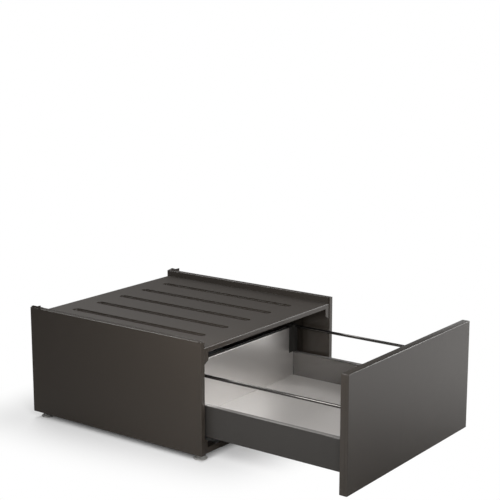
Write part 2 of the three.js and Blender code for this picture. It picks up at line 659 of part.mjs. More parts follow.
// Folded sheet between the rear brackets; below the drawer sides' tops it reaches out to them.
function backWall() {
  const edge = inset(BACK_BRACKET_INNER + FIT);
  const y = BACK_WALL_AT;
  const profile = foldedSheet(
    [
      [y + BACK_WALL_FLANGE, FLOOR_BOTTOM],
      [y, FLOOR_BOTTOM],
      [y, BACK_WALL_TOP],
      [y + BACK_WALL_FLANGE, BACK_WALL_TOP],
      [y + BACK_WALL_FLANGE, BACK_WALL_TOP - BACK_WALL_LIP],
    ],
    BACK_WALL_SHEET, -1, BEND,
  );
  const wide = inset(INNER_WALL + FIT);
  const skirt = block(
    wide, -wide, y, y + BACK_WALL_SHEET, FLOOR_BOTTOM + BEND + BACK_WALL_SHEET, DRAWER_SIDE_TOP,
  );
  return join(prism(profile, "x", edge, -edge), skirt);
}

// Moulded corner at the rear: a ribbed plate beside the back wall and behind its lower part, a
// column for the railing, and a tongue that plugs in the double wall above the runner.
function backBracket() {
  const b = BACK_BRACKET;
  const [x0, x1] = [inset(BACK_BRACKET_OUTER), inset(BACK_BRACKET_INNER)];
  const [y0, y1] = [BACK_WALL_AT, BACK_WALL_AT + b.depth];
  const top = RAILING_HEIGHT + b.rise;
  const plateTop = top - b.proud;
  const behind = y0 + BACK_WALL_SHEET + FIT;
  const plate = block(x0, x1, y0, y0 + b.wall, FLOOR_BOTTOM, plateTop);
  const lowerPlate = block(x0, x1, behind, behind + b.wall, FLOOR_BOTTOM, DRAWER_SIDE_TOP + b.wall);
  const edges = [x0, x1 - b.wall].map((x) => block(x, x + b.wall, y0, y1, FLOOR_BOTTOM, plateTop));
  const ribs = [FLOOR_BOTTOM, FLOOR_TOP, DRAWER_SIDE_TOP, plateTop - b.column].map((z) =>
    block(x0, x1, y0, y1, z, z + b.wall),
  );
  const bottom = DRAWER_SIDE_TOP + FIT;
  const column = block(x0, x0 + b.column, y0 - b.proud, y1, bottom, top);
  const core = block(
    x0 + b.wall, x0 + b.column - b.wall, y0 + b.wall, y1 + PAST, bottom + b.wall,
    RAILING_HEIGHT - RAILING_DIAMETER,
  );
  const bore = rod(
    RAILING_DIAMETER / 2 + FIT, y0 - b.proud - PAST, y1 - b.wall, "y",
    inset(RAILING_INSET), 0, RAILING_HEIGHT, 16,
  );
  const tongue = block(
    inset(HOLLOW[0] + FIT), inset(HOLLOW[1] - FIT), y0 - TONGUE.length, y0 + b.wall,
    TONGUE_BOTTOM, TONGUE_TOP,
  );
  // Below the tongue the corner stays beside the hollow, where the runner's members pass.
  const inner = inset(INNER_WALL + FIT);
  const room = block(x0 - PAST, inner, y0 - PAST, y1 + PAST, FLOOR_BOTTOM - PAST, RUNNER_TOP);
  const lowerEdge = block(inner, inner + b.wall, y0, y1, FLOOR_BOTTOM, RUNNER_TOP + b.wall);
  const ledge = block(x0, inner + b.wall, y0, y1, RUNNER_TOP, RUNNER_TOP + b.wall);
  const outer = cut(join(plate, lowerPlate, ...edges, ...ribs, column, tongue), room, core, bore);
  const skirtRoom = block(
    inset(INNER_WALL), x1 + PAST, y0 - PAST, behind, FLOOR_BOTTOM - PAST, DRAWER_SIDE_TOP + FIT,
  );
  return cut(join(outer, lowerEdge, ledge), skirtRoom);
}

// Angle screwed to the drawer front; its long leg plugs in the double wall above the runner.
function frontBracket() {
  const wall = HOLLOW[1] - FIT;
  const outline = foldedSheet(
    [
      [inset(HOLLOW[0] + FIT), FRONT_BACK],
      [inset(wall), FRONT_BACK],
      [inset(wall), FRONT_BACK + FRONT_BRACKET_LENGTH],
    ],
    TONGUE.wall, 1, TONGUE.wall / 2,
  );
  let bracket = prism(outline, "z", TONGUE_BOTTOM, TONGUE_TOP);
  for (const share of BRACKET_HOLES.shares) {
    const y = FRONT_BACK + share * FRONT_BRACKET_LENGTH;
    const r = BRACKET_HOLES.diameter / 2;
    const hole = new THREE.CylinderGeometry(r, r, 4 * TONGUE.wall, 12).rotateZ(Math.PI / 2);
    hole.translate(inset(wall), y, (TONGUE_BOTTOM + TONGUE_TOP) / 2);
    bracket = bracket.subtract(solidOf(hole));
  }
  return bracket;
}

function railing() {
  const from = FRONT_BACK + SOCKET.length - SOCKET.depth + FIT;
  const to = BACK_WALL_AT + BACK_BRACKET.depth - BACK_BRACKET.wall - FIT;
  return rod(RAILING_DIAMETER / 2, from, to, "y", inset(RAILING_INSET), 0, RAILING_HEIGHT, 16);
}

function railingSocket() {
  const [x, z] = [inset(RAILING_INSET), RAILING_HEIGHT];
  const [from, to] = [FRONT_BACK, FRONT_BACK + SOCKET.length];
  const cup = rod(SOCKET.diameter / 2, from, to, "y", x, 0, z, 24);
  const bore = rod(RAILING_DIAMETER / 2 + FIT, to - SOCKET.depth, to + PAST, "y", x, 0, z, 16);
  return cut(cup, bore);
}

// Slab of the drawer front's outline with its edges rounded at both faces.
function roundedSlab(y0, y1) {
  const r = SKIN_ROUND;
  const shape = new THREE.Shape();
  shape.moveTo(-HALF + r, r).lineTo(HALF - r, r).lineTo(HALF - r, FRONT_HEIGHT - r);
  shape.lineTo(-HALF + r, FRONT_HEIGHT - r).closePath();
  const bevel = { bevelSize: r, bevelThickness: r, bevelSegments: FOLD_STEPS };
  const options = { depth: y1 - y0 - 2 * r, ...bevel };
  const geometry = new THREE.ExtrudeGeometry(shape, options);
  const place = new THREE.Matrix4();
  place.makeBasis(unit(1, 0, 0), unit(0, 0, 1), unit(0, -1, 0)).setPosition(0, y1 - r, 0);
  return solidOf(geometry.applyMatrix4(place));
}

const frontHollow = (y0, y1) =>
  block(-HALF + SKIN, HALF - SKIN, y0, y1, SKIN, FRONT_HEIGHT - SKIN);

function frontOuterPanel() {
  const seam = FRONT_FACE + SKIN_RETURN;
  const slab = roundedSlab(FRONT_FACE, FRONT_BACK);
  return cut(slab, acrossFront(seam, FRONT_BACK + PAST), frontHollow(FRONT_FACE + SKIN, seam + PAST));
}

function frontInnerPanel() {
  const seam = FRONT_FACE + SKIN_RETURN + FIT;
  const slab = roundedSlab(FRONT_FACE, FRONT_BACK);
  return cut(slab, acrossFront(FRONT_FACE - PAST, seam), frontHollow(seam - PAST, FRONT_BACK - SKIN));
}

// A cutter for everything of the drawer front from y0 to y1.
const acrossFront = (y0, y1) =>
  block(-HALF - PAST, HALF + PAST, y0, y1, -PAST, FRONT_HEIGHT + PAST);

function frontCore() {
  const side = HALF - SKIN - FIT;
  const [y0, y1] = [FRONT_FACE + SKIN + FIT, FRONT_BACK - SKIN - FIT];
  return block(-side, side, y0, y1, SKIN + FIT, FRONT_HEIGHT - SKIN - FIT);
}

function bumper(height) {
  const x = inset(BUMPER.inset);
  return rod(BUMPER.diameter / 2, FRONT_BACK, -FIT, "y", x, 0, height, 16);
}

// ---------------------------------------------------------------- finishes
const finish = (color, roughness, metalness) =>
  new THREE.MeshStandardMaterial({ color, roughness, metalness });
const anthracite = finish(0x4a4845, 0.35, 0.4);
const frontPaint = finish(0x5c5954, 0.35, 0.4);
const zinc = finish(0xb9bcbe, 0.35, 0.9);
const darkPlastic = finish(0x35342f, 0.55, 0);
const palePlastic = finish(0xb4b3af, 0.6, 0);
const satinSteel = finish(0x9b9893, 0.3, 0.7);
const board = finish(0xc4c1bc, 0.6, 0);
const coreBoard = finish(0x9c8568, 0.9, 0);
const rubber = finish(0x1e1e1d, 0.9, 0);

// ---------------------------------------------------------------- assembly
const part = new THREE.Group();
const cabinet = new THREE.Group();
const drawer = new THREE.Group();
const outerCages = new THREE.Group();
const middleRunners = new THREE.Group();
const innerCages = new THREE.Group();

function add(group, name, solid, material, mirror = false) {
  const mesh = new THREE.Mesh(geometryOf(solid, mirror), material);
  mesh.name = name;
  group.add(mesh);
  return mesh;
}

function addPair(group, name, solid, material) {
  add(group, `${name}_left`, solid, material);
  add(group, `${name}_right`, solid, material, true);
}

addPair(cabinet, "side_panel", sidePanel(), anthracite);
add(cabinet, "deck_plate", deckPlate(), anthracite);
const frontRailAt = FRONT_SETBACK + DECK_LIP + TOP_RAIL.lip + FIT;
add(cabinet, "front_top_rail", topRail(frontRailAt), anthracite);
const rearRailAt = BACK_PANEL_FRONT - DECK_SHEET - TOP_RAIL.lip - TOP_RAIL.depth - DECK_NOSE - FIT;
add(cabinet, "rear_top_rail", topRail(rearRailAt), anthracite);
add(cabinet, "front_bottom_rail", frontBottomRail(), anthracite);
add(cabinet, "rear_bottom_rail", rearBottomRail(), anthracite);
add(cabinet, "back_panel", backPanel(), anthracite);
addPair(cabinet, "rear_stop", rearStop(), anthracite);
addPair(cabinet, "cabinet_runner", cabinetRunner(), zinc);
const frontHolder = runnerHolder(POST_WIDTH, HOLDER.frontAt, HOLDER.frontLength);
addPair(cabinet, "runner_holder_front", frontHolder, zinc);
const rearHolderAt = RUNNER_REAR - HOLDER.rearRoom - HOLDER.rearLength;
const rearHolder = runnerHolder(SIDE_SHEET, rearHolderAt, HOLDER.rearLength);
addPair(cabinet, "runner_holder_rear", rearHolder, zinc);

// The four feet: the front left one, mirrored across the middle and turned round for the rear.
const footPieces = [
  ["foot_bracket", footBracket(), anthracite],
  ["foot_nut", footNut(), zinc],
  ["foot_stud", footStud(), zinc],
  ["foot_pad", footPad(), palePlastic],
];
for (const [name, solid, material] of footPieces) {
  for (const right of [false, true]) {
    const side = right ? "right" : "left";
    add(cabinet, `${name}_front_${side}`, solid, material, right);
    const rear = add(cabinet, `${name}_rear_${side}`, solid, material, !right);
    rear.rotation.z = Math.PI;
    rear.position.y = CABINET_DEPTH;
  }
}

addPair(outerCages, "outer_ball_cage", ballCage(OUTER_CAGE_WEB, OUTER_BALLS), darkPlastic);
addPair(middleRunners, "middle_runner", middleRunner(), zinc);
addPair(innerCages, "inner_ball_cage", ballCage(INNER_CAGE_WEB, INNER_BALLS), darkPlastic);
addPair(drawer, "drawer_runner", drawerRunner(), zinc);
addPair(drawer, "drawer_side", drawerSide(), anthracite);
add(drawer, "drawer_floor", drawerFloor(), board);
add(drawer, "back_wall", backWall(), satinSteel);
addPair(drawer, "back_bracket", backBracket(), darkPlastic);
addPair(drawer, "front_bracket", frontBracket(), zinc);
addPair(drawer, "railing", railing(), anthracite);
addPair(drawer, "railing_socket", railingSocket(), darkPlastic);
add(drawer, "front_outer_panel", frontOuterPanel(), frontPaint);
add(drawer, "front_core", frontCore(), coreBoard);
add(drawer, "front_inner_panel", frontInnerPanel(), frontPaint);
addPair(drawer, "lower_bumper", bumper(BUMPER.margin), rubber);
addPair(drawer, "upper_bumper", bumper(FRONT_HEIGHT - BUMPER.margin), rubber);

// A telescopic runner's middle member goes half as far as the drawer, and each cage half as far as
// the two members that it rolls between.
drawer.position.y = -DRAWER_OPEN;
middleRunners.position.y = -DRAWER_OPEN / 2;
outerCages.position.y = -DRAWER_OPEN / 4;
innerCages.position.y = (-3 * DRAWER_OPEN) / 4;

// The origin is on the floor, below the middle of the part as it stands here.
const reach = DRAWER_OPEN - FRONT_FACE;
part.add(cabinet, outerCages, middleRunners, innerCages, drawer);
part.position.set(0, (reach - CABINET_DEPTH) / 2, FOOT_HEIGHT);

export default part;
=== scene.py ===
# %% [markdown]
# # A steel pedestal with a wide drawer
#
# The solids come from the CAD model: a folded cabinet on four levelling feet, and a double-walled
# drawer on telescopic ball runners, drawn open. This lesson gives them their finishes. It swaps the
# feet, the railings and the front's two pans for finer pieces, adds the runners' balls and the screws,
# and lights the result.
#
# Everything is in metres: x to the right, y to the back, z up.

# %% Load the frame
import json
import math

import bmesh
import bpy
import numpy as np
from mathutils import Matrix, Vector


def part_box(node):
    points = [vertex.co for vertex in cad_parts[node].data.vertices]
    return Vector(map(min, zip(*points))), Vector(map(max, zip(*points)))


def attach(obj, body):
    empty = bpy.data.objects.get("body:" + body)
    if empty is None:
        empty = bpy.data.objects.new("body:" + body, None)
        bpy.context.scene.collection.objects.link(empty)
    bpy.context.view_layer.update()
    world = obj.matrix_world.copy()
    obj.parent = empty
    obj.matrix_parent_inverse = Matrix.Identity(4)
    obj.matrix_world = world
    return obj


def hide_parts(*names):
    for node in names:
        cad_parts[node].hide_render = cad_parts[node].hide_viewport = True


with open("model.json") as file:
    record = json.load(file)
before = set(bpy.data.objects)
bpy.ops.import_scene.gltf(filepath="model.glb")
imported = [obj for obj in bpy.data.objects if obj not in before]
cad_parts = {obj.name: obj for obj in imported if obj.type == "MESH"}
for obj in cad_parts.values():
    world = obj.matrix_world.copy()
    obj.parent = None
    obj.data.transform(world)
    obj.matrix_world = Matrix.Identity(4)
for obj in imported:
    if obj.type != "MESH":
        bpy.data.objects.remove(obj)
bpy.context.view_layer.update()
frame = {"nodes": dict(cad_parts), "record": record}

NODES = frame["nodes"]
MM = 0.001

# %% [markdown]
# ## The camera
#
# The picture was taken from the front left, a little above the pedestal. The lens was fitted to the
# straight edges of the object. A level camera with a shifted lens would keep upright edges upright, but
# it would put every other view of the scene off centre. So this one is tilted down and has no shift.

# %% Place the camera
CAMERA_AT = (-2.6146, -1.9605, 1.1607)
CAMERA_YAW = math.radians(53.34)  # turned to the right, away from looking along +y
CAMERA_PITCH = math.radians(11.62)  # tilted down
CAMERA_LENS = 90.32  # mm
SENSOR_WIDTH = 36  # mm
FARTHEST_SEEN = 100


def place_camera():
    """Looks along +y, then is tilted down by the pitch and turned to the right by the yaw."""
    camera = bpy.data.objects.new("camera", bpy.data.cameras.new("camera"))
    camera.data.lens = CAMERA_LENS
    camera.data.sensor_width = SENSOR_WIDTH
    camera.data.clip_end = FARTHEST_SEEN
    camera.location = CAMERA_AT
    camera.rotation_euler = (math.pi / 2 - CAMERA_PITCH, 0, -CAMERA_YAW)
    bpy.context.scene.collection.objects.link(camera)
    bpy.context.scene.camera = camera


place_camera()
print("camera at", CAMERA_AT, "lens", CAMERA_LENS, "mm")

# %% [markdown]
# ## Wiring shader nodes
#
# The world, the floor and every finish are networks of nodes. Written out node by node, the idea of a
# network gets lost among its links. So each kind of node has one small helper, which takes plain
# numbers or the outputs of earlier nodes, and returns its own output.

# %% Node helpers
FIRST_COLOUR, SECOND_COLOUR, MIXED_COLOUR = 6, 7, 2  # a Mix node has sockets for each kind of data


def feed(tree, socket, given):
    """Sets a socket to a plain number or colour, or links an earlier node's output to it."""
    if isinstance(given, bpy.types.NodeSocket):
        tree.links.new(given, socket)
    else:
        socket.default_value = given


def calculate(tree, operation, first, second=0.0):
    """One step of arithmetic on one or two values."""
    node = tree.nodes.new("ShaderNodeMath")
    node.operation = operation
    feed(tree, node.inputs[0], first)
    feed(tree, node.inputs[1], second)
    return node.outputs[0]


def mapped(tree, value, low=0.0, high=1.0, to_low=0.0, to_high=1.0, smooth=False):
    """Goes from to_low to to_high while the value goes from low to high, and stays there beyond."""
    node = tree.nodes.new("ShaderNodeMapRange")
    node.interpolation_type = "SMOOTHSTEP" if smooth else "LINEAR"
    feed(tree, node.inputs["Value"], value)
    feed(tree, node.inputs["From Min"], low)
    feed(tree, node.inputs["From Max"], high)
    feed(tree, node.inputs["To Min"], to_low)
    feed(tree, node.inputs["To Max"], to_high)
    return node.outputs["Result"]


def mixed(tree, share, first, second, blend="MIX"):
    """The first colour, with a share of the second mixed or multiplied into it."""
    node = tree.nodes.new("ShaderNodeMix")
    node.data_type = "RGBA"
    node.blend_type = blend
    feed(tree, node.inputs["Factor"], share)
    feed(tree, node.inputs[FIRST_COLOUR], first)
    feed(tree, node.inputs[SECOND_COLOUR], second)
    return node.outputs[MIXED_COLOUR]


def axes(tree, place):
    """The x, y and z of a place, or of a direction."""
    node = tree.nodes.new("ShaderNodeSeparateXYZ")
    tree.links.new(place, node.inputs[0])
    return list(node.outputs)


def start_finish(name):
    """A new material with its node tree, its shader, and the object coordinates."""
    material = bpy.data.materials.new(name)
    material.use_nodes = True
    tree = material.node_tree
    place = tree.nodes.new("ShaderNodeTexCoord").outputs["Object"]
    return material, tree, tree.nodes["Principled BSDF"], place


print("a Mix node's colours are its sockets", FIRST_COLOUR, "and", SECOND_COLOUR)

# %% [markdown]
# ## World and lamps
#
# Dark satin paint shows its surroundings more than its own colour, so the light is what shapes it. One
# even white world would turn every panel the same flat grey. So the world has three strengths: plain
# white for the camera, a dim even light for matte surfaces, and for shiny ones a bright horizon under a
# dark ceiling, which lets a sheen fade across a panel.
#
# The rest comes from soft boxes. A small one near the left lights the side panel. One in front reaches
# over the drawer's front to its back wall, and another fills the drawer from the right. A broad one
# stands to the right, and one high up behind. The last is small: the rounded edges mirror it as thin
# light lines.

# %% World and lamps
WORLD_LIGHT = 0.14  # what matte surfaces get from all round
WORLD_SHEEN = 0.90  # what shiny surfaces see in it at the horizon
CEILING_SHEEN = 0.12  # and what they see of it overhead
CEILING_AT = 0.20  # rise, as the sine of its angle, at which the ceiling is as dark as it gets

SOFT_BOXES = [  # name, place, the point it faces, width, height, watts
    ("side_box", (-0.7, -0.25, 0.62), (-0.3, -0.12, 0.25), 0.35, 0.35, 3.7),
    ("front_box", (-1.3, -1.3, 0.75), (0, -0.15, 0.2), 0.6, 0.6, 8.5),
    ("right_box", (2.6, -1.3, 1.25), (0, -0.2, 0.25), 2.2, 1.7, 38),
    ("fill_box", (0.9, -1.1, 0.75), (0.25, -0.5, 0.2), 0.45, 0.45, 5.5),
    ("top_box", (0.3, 1.6, 2.2), (0, -0.1, 0.2), 1.6, 1.1, 32),
    ("edge_box", (1.55, -0.95, 1.42), (0, -0.5, 0.3), 0.25, 0.25, 3.0),
]


def make_world():
    """Strength = light, or for a glossy ray the sheen by how far it rises, or 1 for the camera."""
    world = bpy.data.worlds.new("studio")
    bpy.context.scene.world = world
    world.use_nodes = True
    tree = world.node_tree
    path = tree.nodes.new("ShaderNodeLightPath").outputs
    rise = axes(tree, tree.nodes.new("ShaderNodeTexCoord").outputs["Generated"])[2]
    sheen = mapped(tree, rise, high=CEILING_AT, to_low=WORLD_SHEEN, to_high=CEILING_SHEEN)
    unseen = mapped(tree, path["Is Glossy Ray"], to_low=WORLD_LIGHT, to_high=sheen)
    strength = mapped(tree, path["Is Camera Ray"], to_low=unseen)
    background = tree.nodes["Background"]
    background.inputs["Color"].default_value = (1, 1, 1, 1)
    tree.links.new(strength, background.inputs["Strength"])


def soft_box(name, at, aim, width, height, power):
    """A rectangular lamp at a point, turned to face another point."""
    lamp = bpy.data.lights.new(name, "AREA")
    lamp.shape = "RECTANGLE"
    lamp.size = width
    lamp.size_y = height
    lamp.energy = power
    box = bpy.data.objects.new(name, lamp)
    box.location = at
    box.rotation_euler = (Vector(aim) - Vector(at)).to_track_quat("-Z", "Y").to_euler()
    box.visible_camera = False
    bpy.context.scene.collection.objects.link(box)


make_world()
for soft in SOFT_BOXES:
    soft_box(*soft)
bpy.context.scene.view_settings.view_transform = "Standard"
print(len(SOFT_BOXES), "soft boxes")

# %% [markdown]
# ## The floor
#
# The floor is one large pale square. More light would turn it white, but it would wash out the paint as
# well. So where the camera looks at it, its own look is mixed with plain white, the more the further it
# lies from the cabinet: the surroundings are white, and the shadow under and near the object stays.
# Shiny surfaces see the floor darker than it is, as they would a studio floor outside the lamps' reach,
# and it turns white for them only to the right and front.

# %% Floor
FLOOR_SPAN = 30.0
FLOOR_SHADE = 0.86
FLOOR_ROUGHNESS = 0.9
FLOOR_SPECULAR = 0.1
FLOOR_IN_SHEEN = 0.28  # share of the floor's shade that shiny surfaces see
CABINET_MIDDLE = (0, 0.215)  # of its outline on the floor
CABINET_HALF = (0.298, 0.30)
LIFT_REACH = 0.25  # distance from the cabinet at which the white is complete
LIFT_NEAR = 0.4  # share of the white right beside the cabinet
UNDER_EDGE = 0.04  # how far under the cabinet the white fades out
BRIGHT_WAY = (0.8, -0.6)  # to the right and front, where shiny surfaces see the floor white
BRIGHT_FROM = 0.1  # how far that way it begins
BRIGHT_TO = 1.4  # and where it is complete


def away_from_cabinet(tree, place):
    """Two values on the floor: the distance outside the cabinet's outline, and 0 under the cabinet.

    The first is the length of (max(|x - middle| - half, 0), max(|y - middle| - half, 0)). The second
    rises from 0 to 1 over the last few centimetres before the outline.
    """
    beyond = []
    squares = []
    for along, middle, half in zip(axes(tree, place), CABINET_MIDDLE, CABINET_HALF):
        away = calculate(tree, "ABSOLUTE", calculate(tree, "SUBTRACT", along, middle))
        beyond.append(calculate(tree, "SUBTRACT", away, half))
        outside = calculate(tree, "MAXIMUM", beyond[-1], 0.0)
        squares.append(calculate(tree, "MULTIPLY", outside, outside))
    distance = calculate(tree, "SQRT", calculate(tree, "ADD", *squares))
    return distance, mapped(tree, calculate(tree, "MAXIMUM", *beyond), low=-UNDER_EDGE, high=0.0)


def white_in_sheen(tree, place):
    """Smooth step of the way to the right and front, which is 0.8 * x - 0.6 * y."""
    ways = [calculate(tree, "MULTIPLY", a, share) for a, share in zip(axes(tree, place), BRIGHT_WAY)]
    return mapped(tree, calculate(tree, "ADD", *ways), BRIGHT_FROM, BRIGHT_TO, smooth=True)


def floor_finish():
    """White's share = the lift for a camera ray, and the white in sheen for a glossy ray."""
    material, tree, shader, place = start_finish("pale_floor")
    path = tree.nodes.new("ShaderNodeLightPath").outputs
    pale, dimmed = [(*[FLOOR_SHADE * share] * 3, 1) for share in (1, FLOOR_IN_SHEEN)]
    tree.links.new(mixed(tree, path["Is Glossy Ray"], pale, dimmed), shader.inputs["Base Color"])
    shader.inputs["Roughness"].default_value = FLOOR_ROUGHNESS
    shader.inputs["Specular IOR Level"].default_value = FLOOR_SPECULAR
    distance, open_floor = away_from_cabinet(tree, place)
    lift = mapped(tree, distance, high=LIFT_REACH, to_low=LIFT_NEAR, smooth=True)
    lift = calculate(tree, "MULTIPLY", lift, open_floor)
    for_camera = calculate(tree, "MULTIPLY", lift, path["Is Camera Ray"])
    for_sheen = calculate(tree, "MULTIPLY", white_in_sheen(tree, place), path["Is Glossy Ray"])
    both = tree.nodes.new("ShaderNodeMixShader")
    feed(tree, both.inputs[0], calculate(tree, "ADD", for_camera, for_sheen))
    feed(tree, both.inputs[1], shader.outputs[0])
    feed(tree, both.inputs[2], tree.nodes.new("ShaderNodeEmission").outputs[0])
    feed(tree, tree.nodes["Material Output"].inputs["Surface"], both.outputs[0])
    return material


def make_floor():
    """One face with four corners at height 0."""
    half = FLOOR_SPAN / 2
    mesh = bpy.data.meshes.new("floor")
    corners = [(-half, -half, 0), (half, -half, 0), (half, half, 0), (-half, half, 0)]
    mesh.from_pydata(corners, [], [(0, 1, 2, 3)])
    mesh.materials.append(floor_finish())
    floor = bpy.data.objects.new("floor", mesh)
    bpy.context.scene.collection.objects.link(floor)


make_floor()
print("floor", FLOOR_SPAN, "m across")

# %% [markdown]
# ## Small building blocks for finishes
#
# Image textures would have to be photographed and laid on each piece without a seam. Noise on the
# object's own coordinates needs neither and runs on round every fold. So every finish is made from the
# same few steps: noise or cells, stretched where the metal was rolled or drawn, a ramp that turns them
# into a colour, a spread that turns them into a roughness, and a bump.

# %% Finish helpers
NOISE_RANGE = (0.3, 0.7)  # where the values of a noise mostly lie
RELIEF = 0.1 * MM  # depth of the usual bump


def stretched(tree, place, scale):
    """The coordinates with each axis multiplied by its own scale."""
    mapping = tree.nodes.new("ShaderNodeMapping")
    mapping.inputs["Scale"].default_value = scale
    tree.links.new(place, mapping.inputs["Vector"])
    return mapping.outputs["Vector"]


def noise(tree, place, scale, detail):
    """Cloudy noise: scale is how many blobs there are in a metre."""
    node = tree.nodes.new("ShaderNodeTexNoise")
    node.inputs["Scale"].default_value = scale
    node.inputs["Detail"].default_value = detail
    tree.links.new(place, node.inputs["Vector"])
    return node.outputs["Fac"]


def marks(tree, place, per_metre, detail):
    """Noise with its own number of blobs in a metre along each of x, y and z."""
    return noise(tree, stretched(tree, place, per_metre), scale=1.0, detail=detail)


def cells(tree, place, scale):
    """Crystal-like cells, each with a random colour of its own."""
    node = tree.nodes.new("ShaderNodeTexVoronoi")
    node.inputs["Scale"].default_value = scale
    tree.links.new(place, node.inputs["Vector"])
    return node.outputs["Color"]


def ramp(tree, value, stops):
    """Colours along a value, as (position, colour) pairs."""
    node = tree.nodes.new("ShaderNodeValToRGB")
    elements = node.color_ramp.elements
    while len(elements) < len(stops):
        elements.new(0.5)
    for element, (position, colour) in zip(elements, stops):
        element.position = position
        element.color = (*colour, 1)
    tree.links.new(value, node.inputs["Fac"])
    return node.outputs["Color"]


def tinted(tree, value, colour, low, high, share):
    """colour * (1 - share) where the value is low, and colour * (1 + share) where it is high."""
    dark = tuple(c * (1 - share) for c in colour)
    light = tuple(min(1, c * (1 + share)) for c in colour)
    return ramp(tree, value, [(low, dark), (high, light)])


def spread(tree, value, to_low, to_high):
    """A noise's usual range, spread to other values."""
    return mapped(tree, value, *NOISE_RANGE, to_low, to_high)


def bump(tree, shader, height, strength, depth=RELIEF, edge=0.0):
    """Tilts the surface as if it had this relief, depth metres deep, and its edges were rounded."""
    node = tree.nodes.new("ShaderNodeBump")
    if edge:
        rounded = tree.nodes.new("ShaderNodeBevel")
        rounded.inputs["Radius"].default_value = edge
        tree.links.new(rounded.outputs["Normal"], node.inputs["Normal"])
    node.inputs["Strength"].default_value = strength
    node.inputs["Distance"].default_value = depth
    tree.links.new(height, node.inputs["Height"])
    tree.links.new(node.outputs["Normal"], shader.inputs["Normal"])


def set_finish(tree, shader, colour, roughness, metallic=0.0):
    """Gives the shader its colour, roughness and metal, each a plain value or a node's output."""
    feed(tree, shader.inputs["Base Color"], colour)
    feed(tree, shader.inputs["Roughness"], roughness)
    feed(tree, shader.inputs["Metallic"], metallic)


print("most noise lies from", NOISE_RANGE[0], "to", NOISE_RANGE[1])

# %% [markdown]
# ## Powder-coated steel
#
# The cabinet and the drawer's front are powder coated: a warm anthracite whose baked surface has a
# faint orange peel and fine metallic grains. Noise of two sizes makes the grain and the peel, and a
# third, large and weak, keeps a broad panel from looking like one flat colour.
#
# A CAD solid has knife-sharp edges, and a sharp edge never catches the light. Real rounding would mean
# new meshes for all the sheet metal, and the shader's Bevel node gives the same light lines without
# them. Only the front's pans are new pieces with modelled rounding, so their coat has no Bevel. The
# deck's top is coated rougher, so that what stands on it doesn't slip.

# %% Powder coat
CABINET_COLOUR = (0.046, 0.038, 0.031)
FRONT_COLOUR = (0.047, 0.040, 0.034)
COAT_ROUGHNESS = 0.25
COAT_EDGE = 1.5 * MM  # how round the paint and the bends make an edge
GRAIN_SCALE = 1400
GRAIN_RANGE = (0.35, 0.65)
PEEL_SCALE = 420
PEEL_STRENGTH = 0.03
PEEL_GLOSS = 0.012  # how far the peel raises and lowers the roughness
CLOUD_SCALE = 4
CLOUD_SHADE = 0.95
DECK_TOP = 298 * MM
DECK_ROUGHER = 0.30
DECK_FADE = 0.5 * MM


def rougher_above(tree, place, height):
    """Extra roughness: none until just below this height, and all of it from there up."""
    z = axes(tree, place)[2]
    return mapped(tree, z, height - DECK_FADE, height, to_high=DECK_ROUGHER)


def powder_coat(name, colour, edge=COAT_EDGE, rough_above=None):
    """Colour = fine grains * broad clouds; the peel gives the relief and the roughness."""
    material, tree, shader, place = start_finish(name)
    grain = noise(tree, place, GRAIN_SCALE, detail=1.0)
    fine = tinted(tree, grain, colour, *GRAIN_RANGE, share=0.05)
    cloud = noise(tree, place, CLOUD_SCALE, detail=2.0)
    broad = ramp(tree, cloud, [(NOISE_RANGE[0], [CLOUD_SHADE] * 3), (NOISE_RANGE[1], [1.0] * 3)])
    peel = noise(tree, place, PEEL_SCALE, detail=2.0)
    gloss = spread(tree, peel, COAT_ROUGHNESS - PEEL_GLOSS, COAT_ROUGHNESS + PEEL_GLOSS)
    if rough_above:
        gloss = calculate(tree, "ADD", gloss, rougher_above(tree, place, rough_above))
    set_finish(tree, shader, mixed(tree, 1.0, fine, broad, "MULTIPLY"), gloss)
    bump(tree, shader, peel, PEEL_STRENGTH, edge=edge)
    return material


cabinet_coat = powder_coat("cabinet_coat", CABINET_COLOUR)
front_coat = powder_coat("front_coat", FRONT_COLOUR, edge=0)
deck_coat = powder_coat("deck_coat", CABINET_COLOUR, rough_above=DECK_TOP)
print("coats:", cabinet_coat.name, front_coat.name, deck_coat.name)

# %% [markdown]
# ## The drawer's double-walled sides
#
# A drawer side is one folded sheet. Its outer wall is as dark as the cabinet. Its inner wall has the
# lighter, silky metallic coat of the back wall, so the two blend in the corner where they meet. Along
# the fold on top a pale band is painted in: a painted highlight, the light line the rounded fold
# catches. Two materials would mean a new mesh, its faces sorted by wall. One material does as well,
# because it can ask where a point is: its distance from the drawer's middle says which wall it belongs
# to, and its height whether it gets the painted highlight on the fold.

# %% Drawer side coat
SIDE_COLOUR = (0.040, 0.037, 0.034)
SIDE_ROUGHNESS = (0.205, 0.225)
INNER_COLOUR = (0.21, 0.203, 0.196)
INNER_METAL = 0.92
INNER_FACE = 0.2582  # x of the inner walls, with a little room
# painted highlight: a pale band along the fold on top, where the rounded fold would catch the lamps
TOP_HIGHLIGHT_COLOUR = (0.20, 0.192, 0.184)
FOLD_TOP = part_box("drawer_side_left")[1][2]
TOP_HIGHLIGHT_FROM = 1.2 * MM  # below the fold's top
TOP_HIGHLIGHT_FULL = 0.4 * MM
FOLD_EDGE = 2.5 * MM  # how soft the folds are


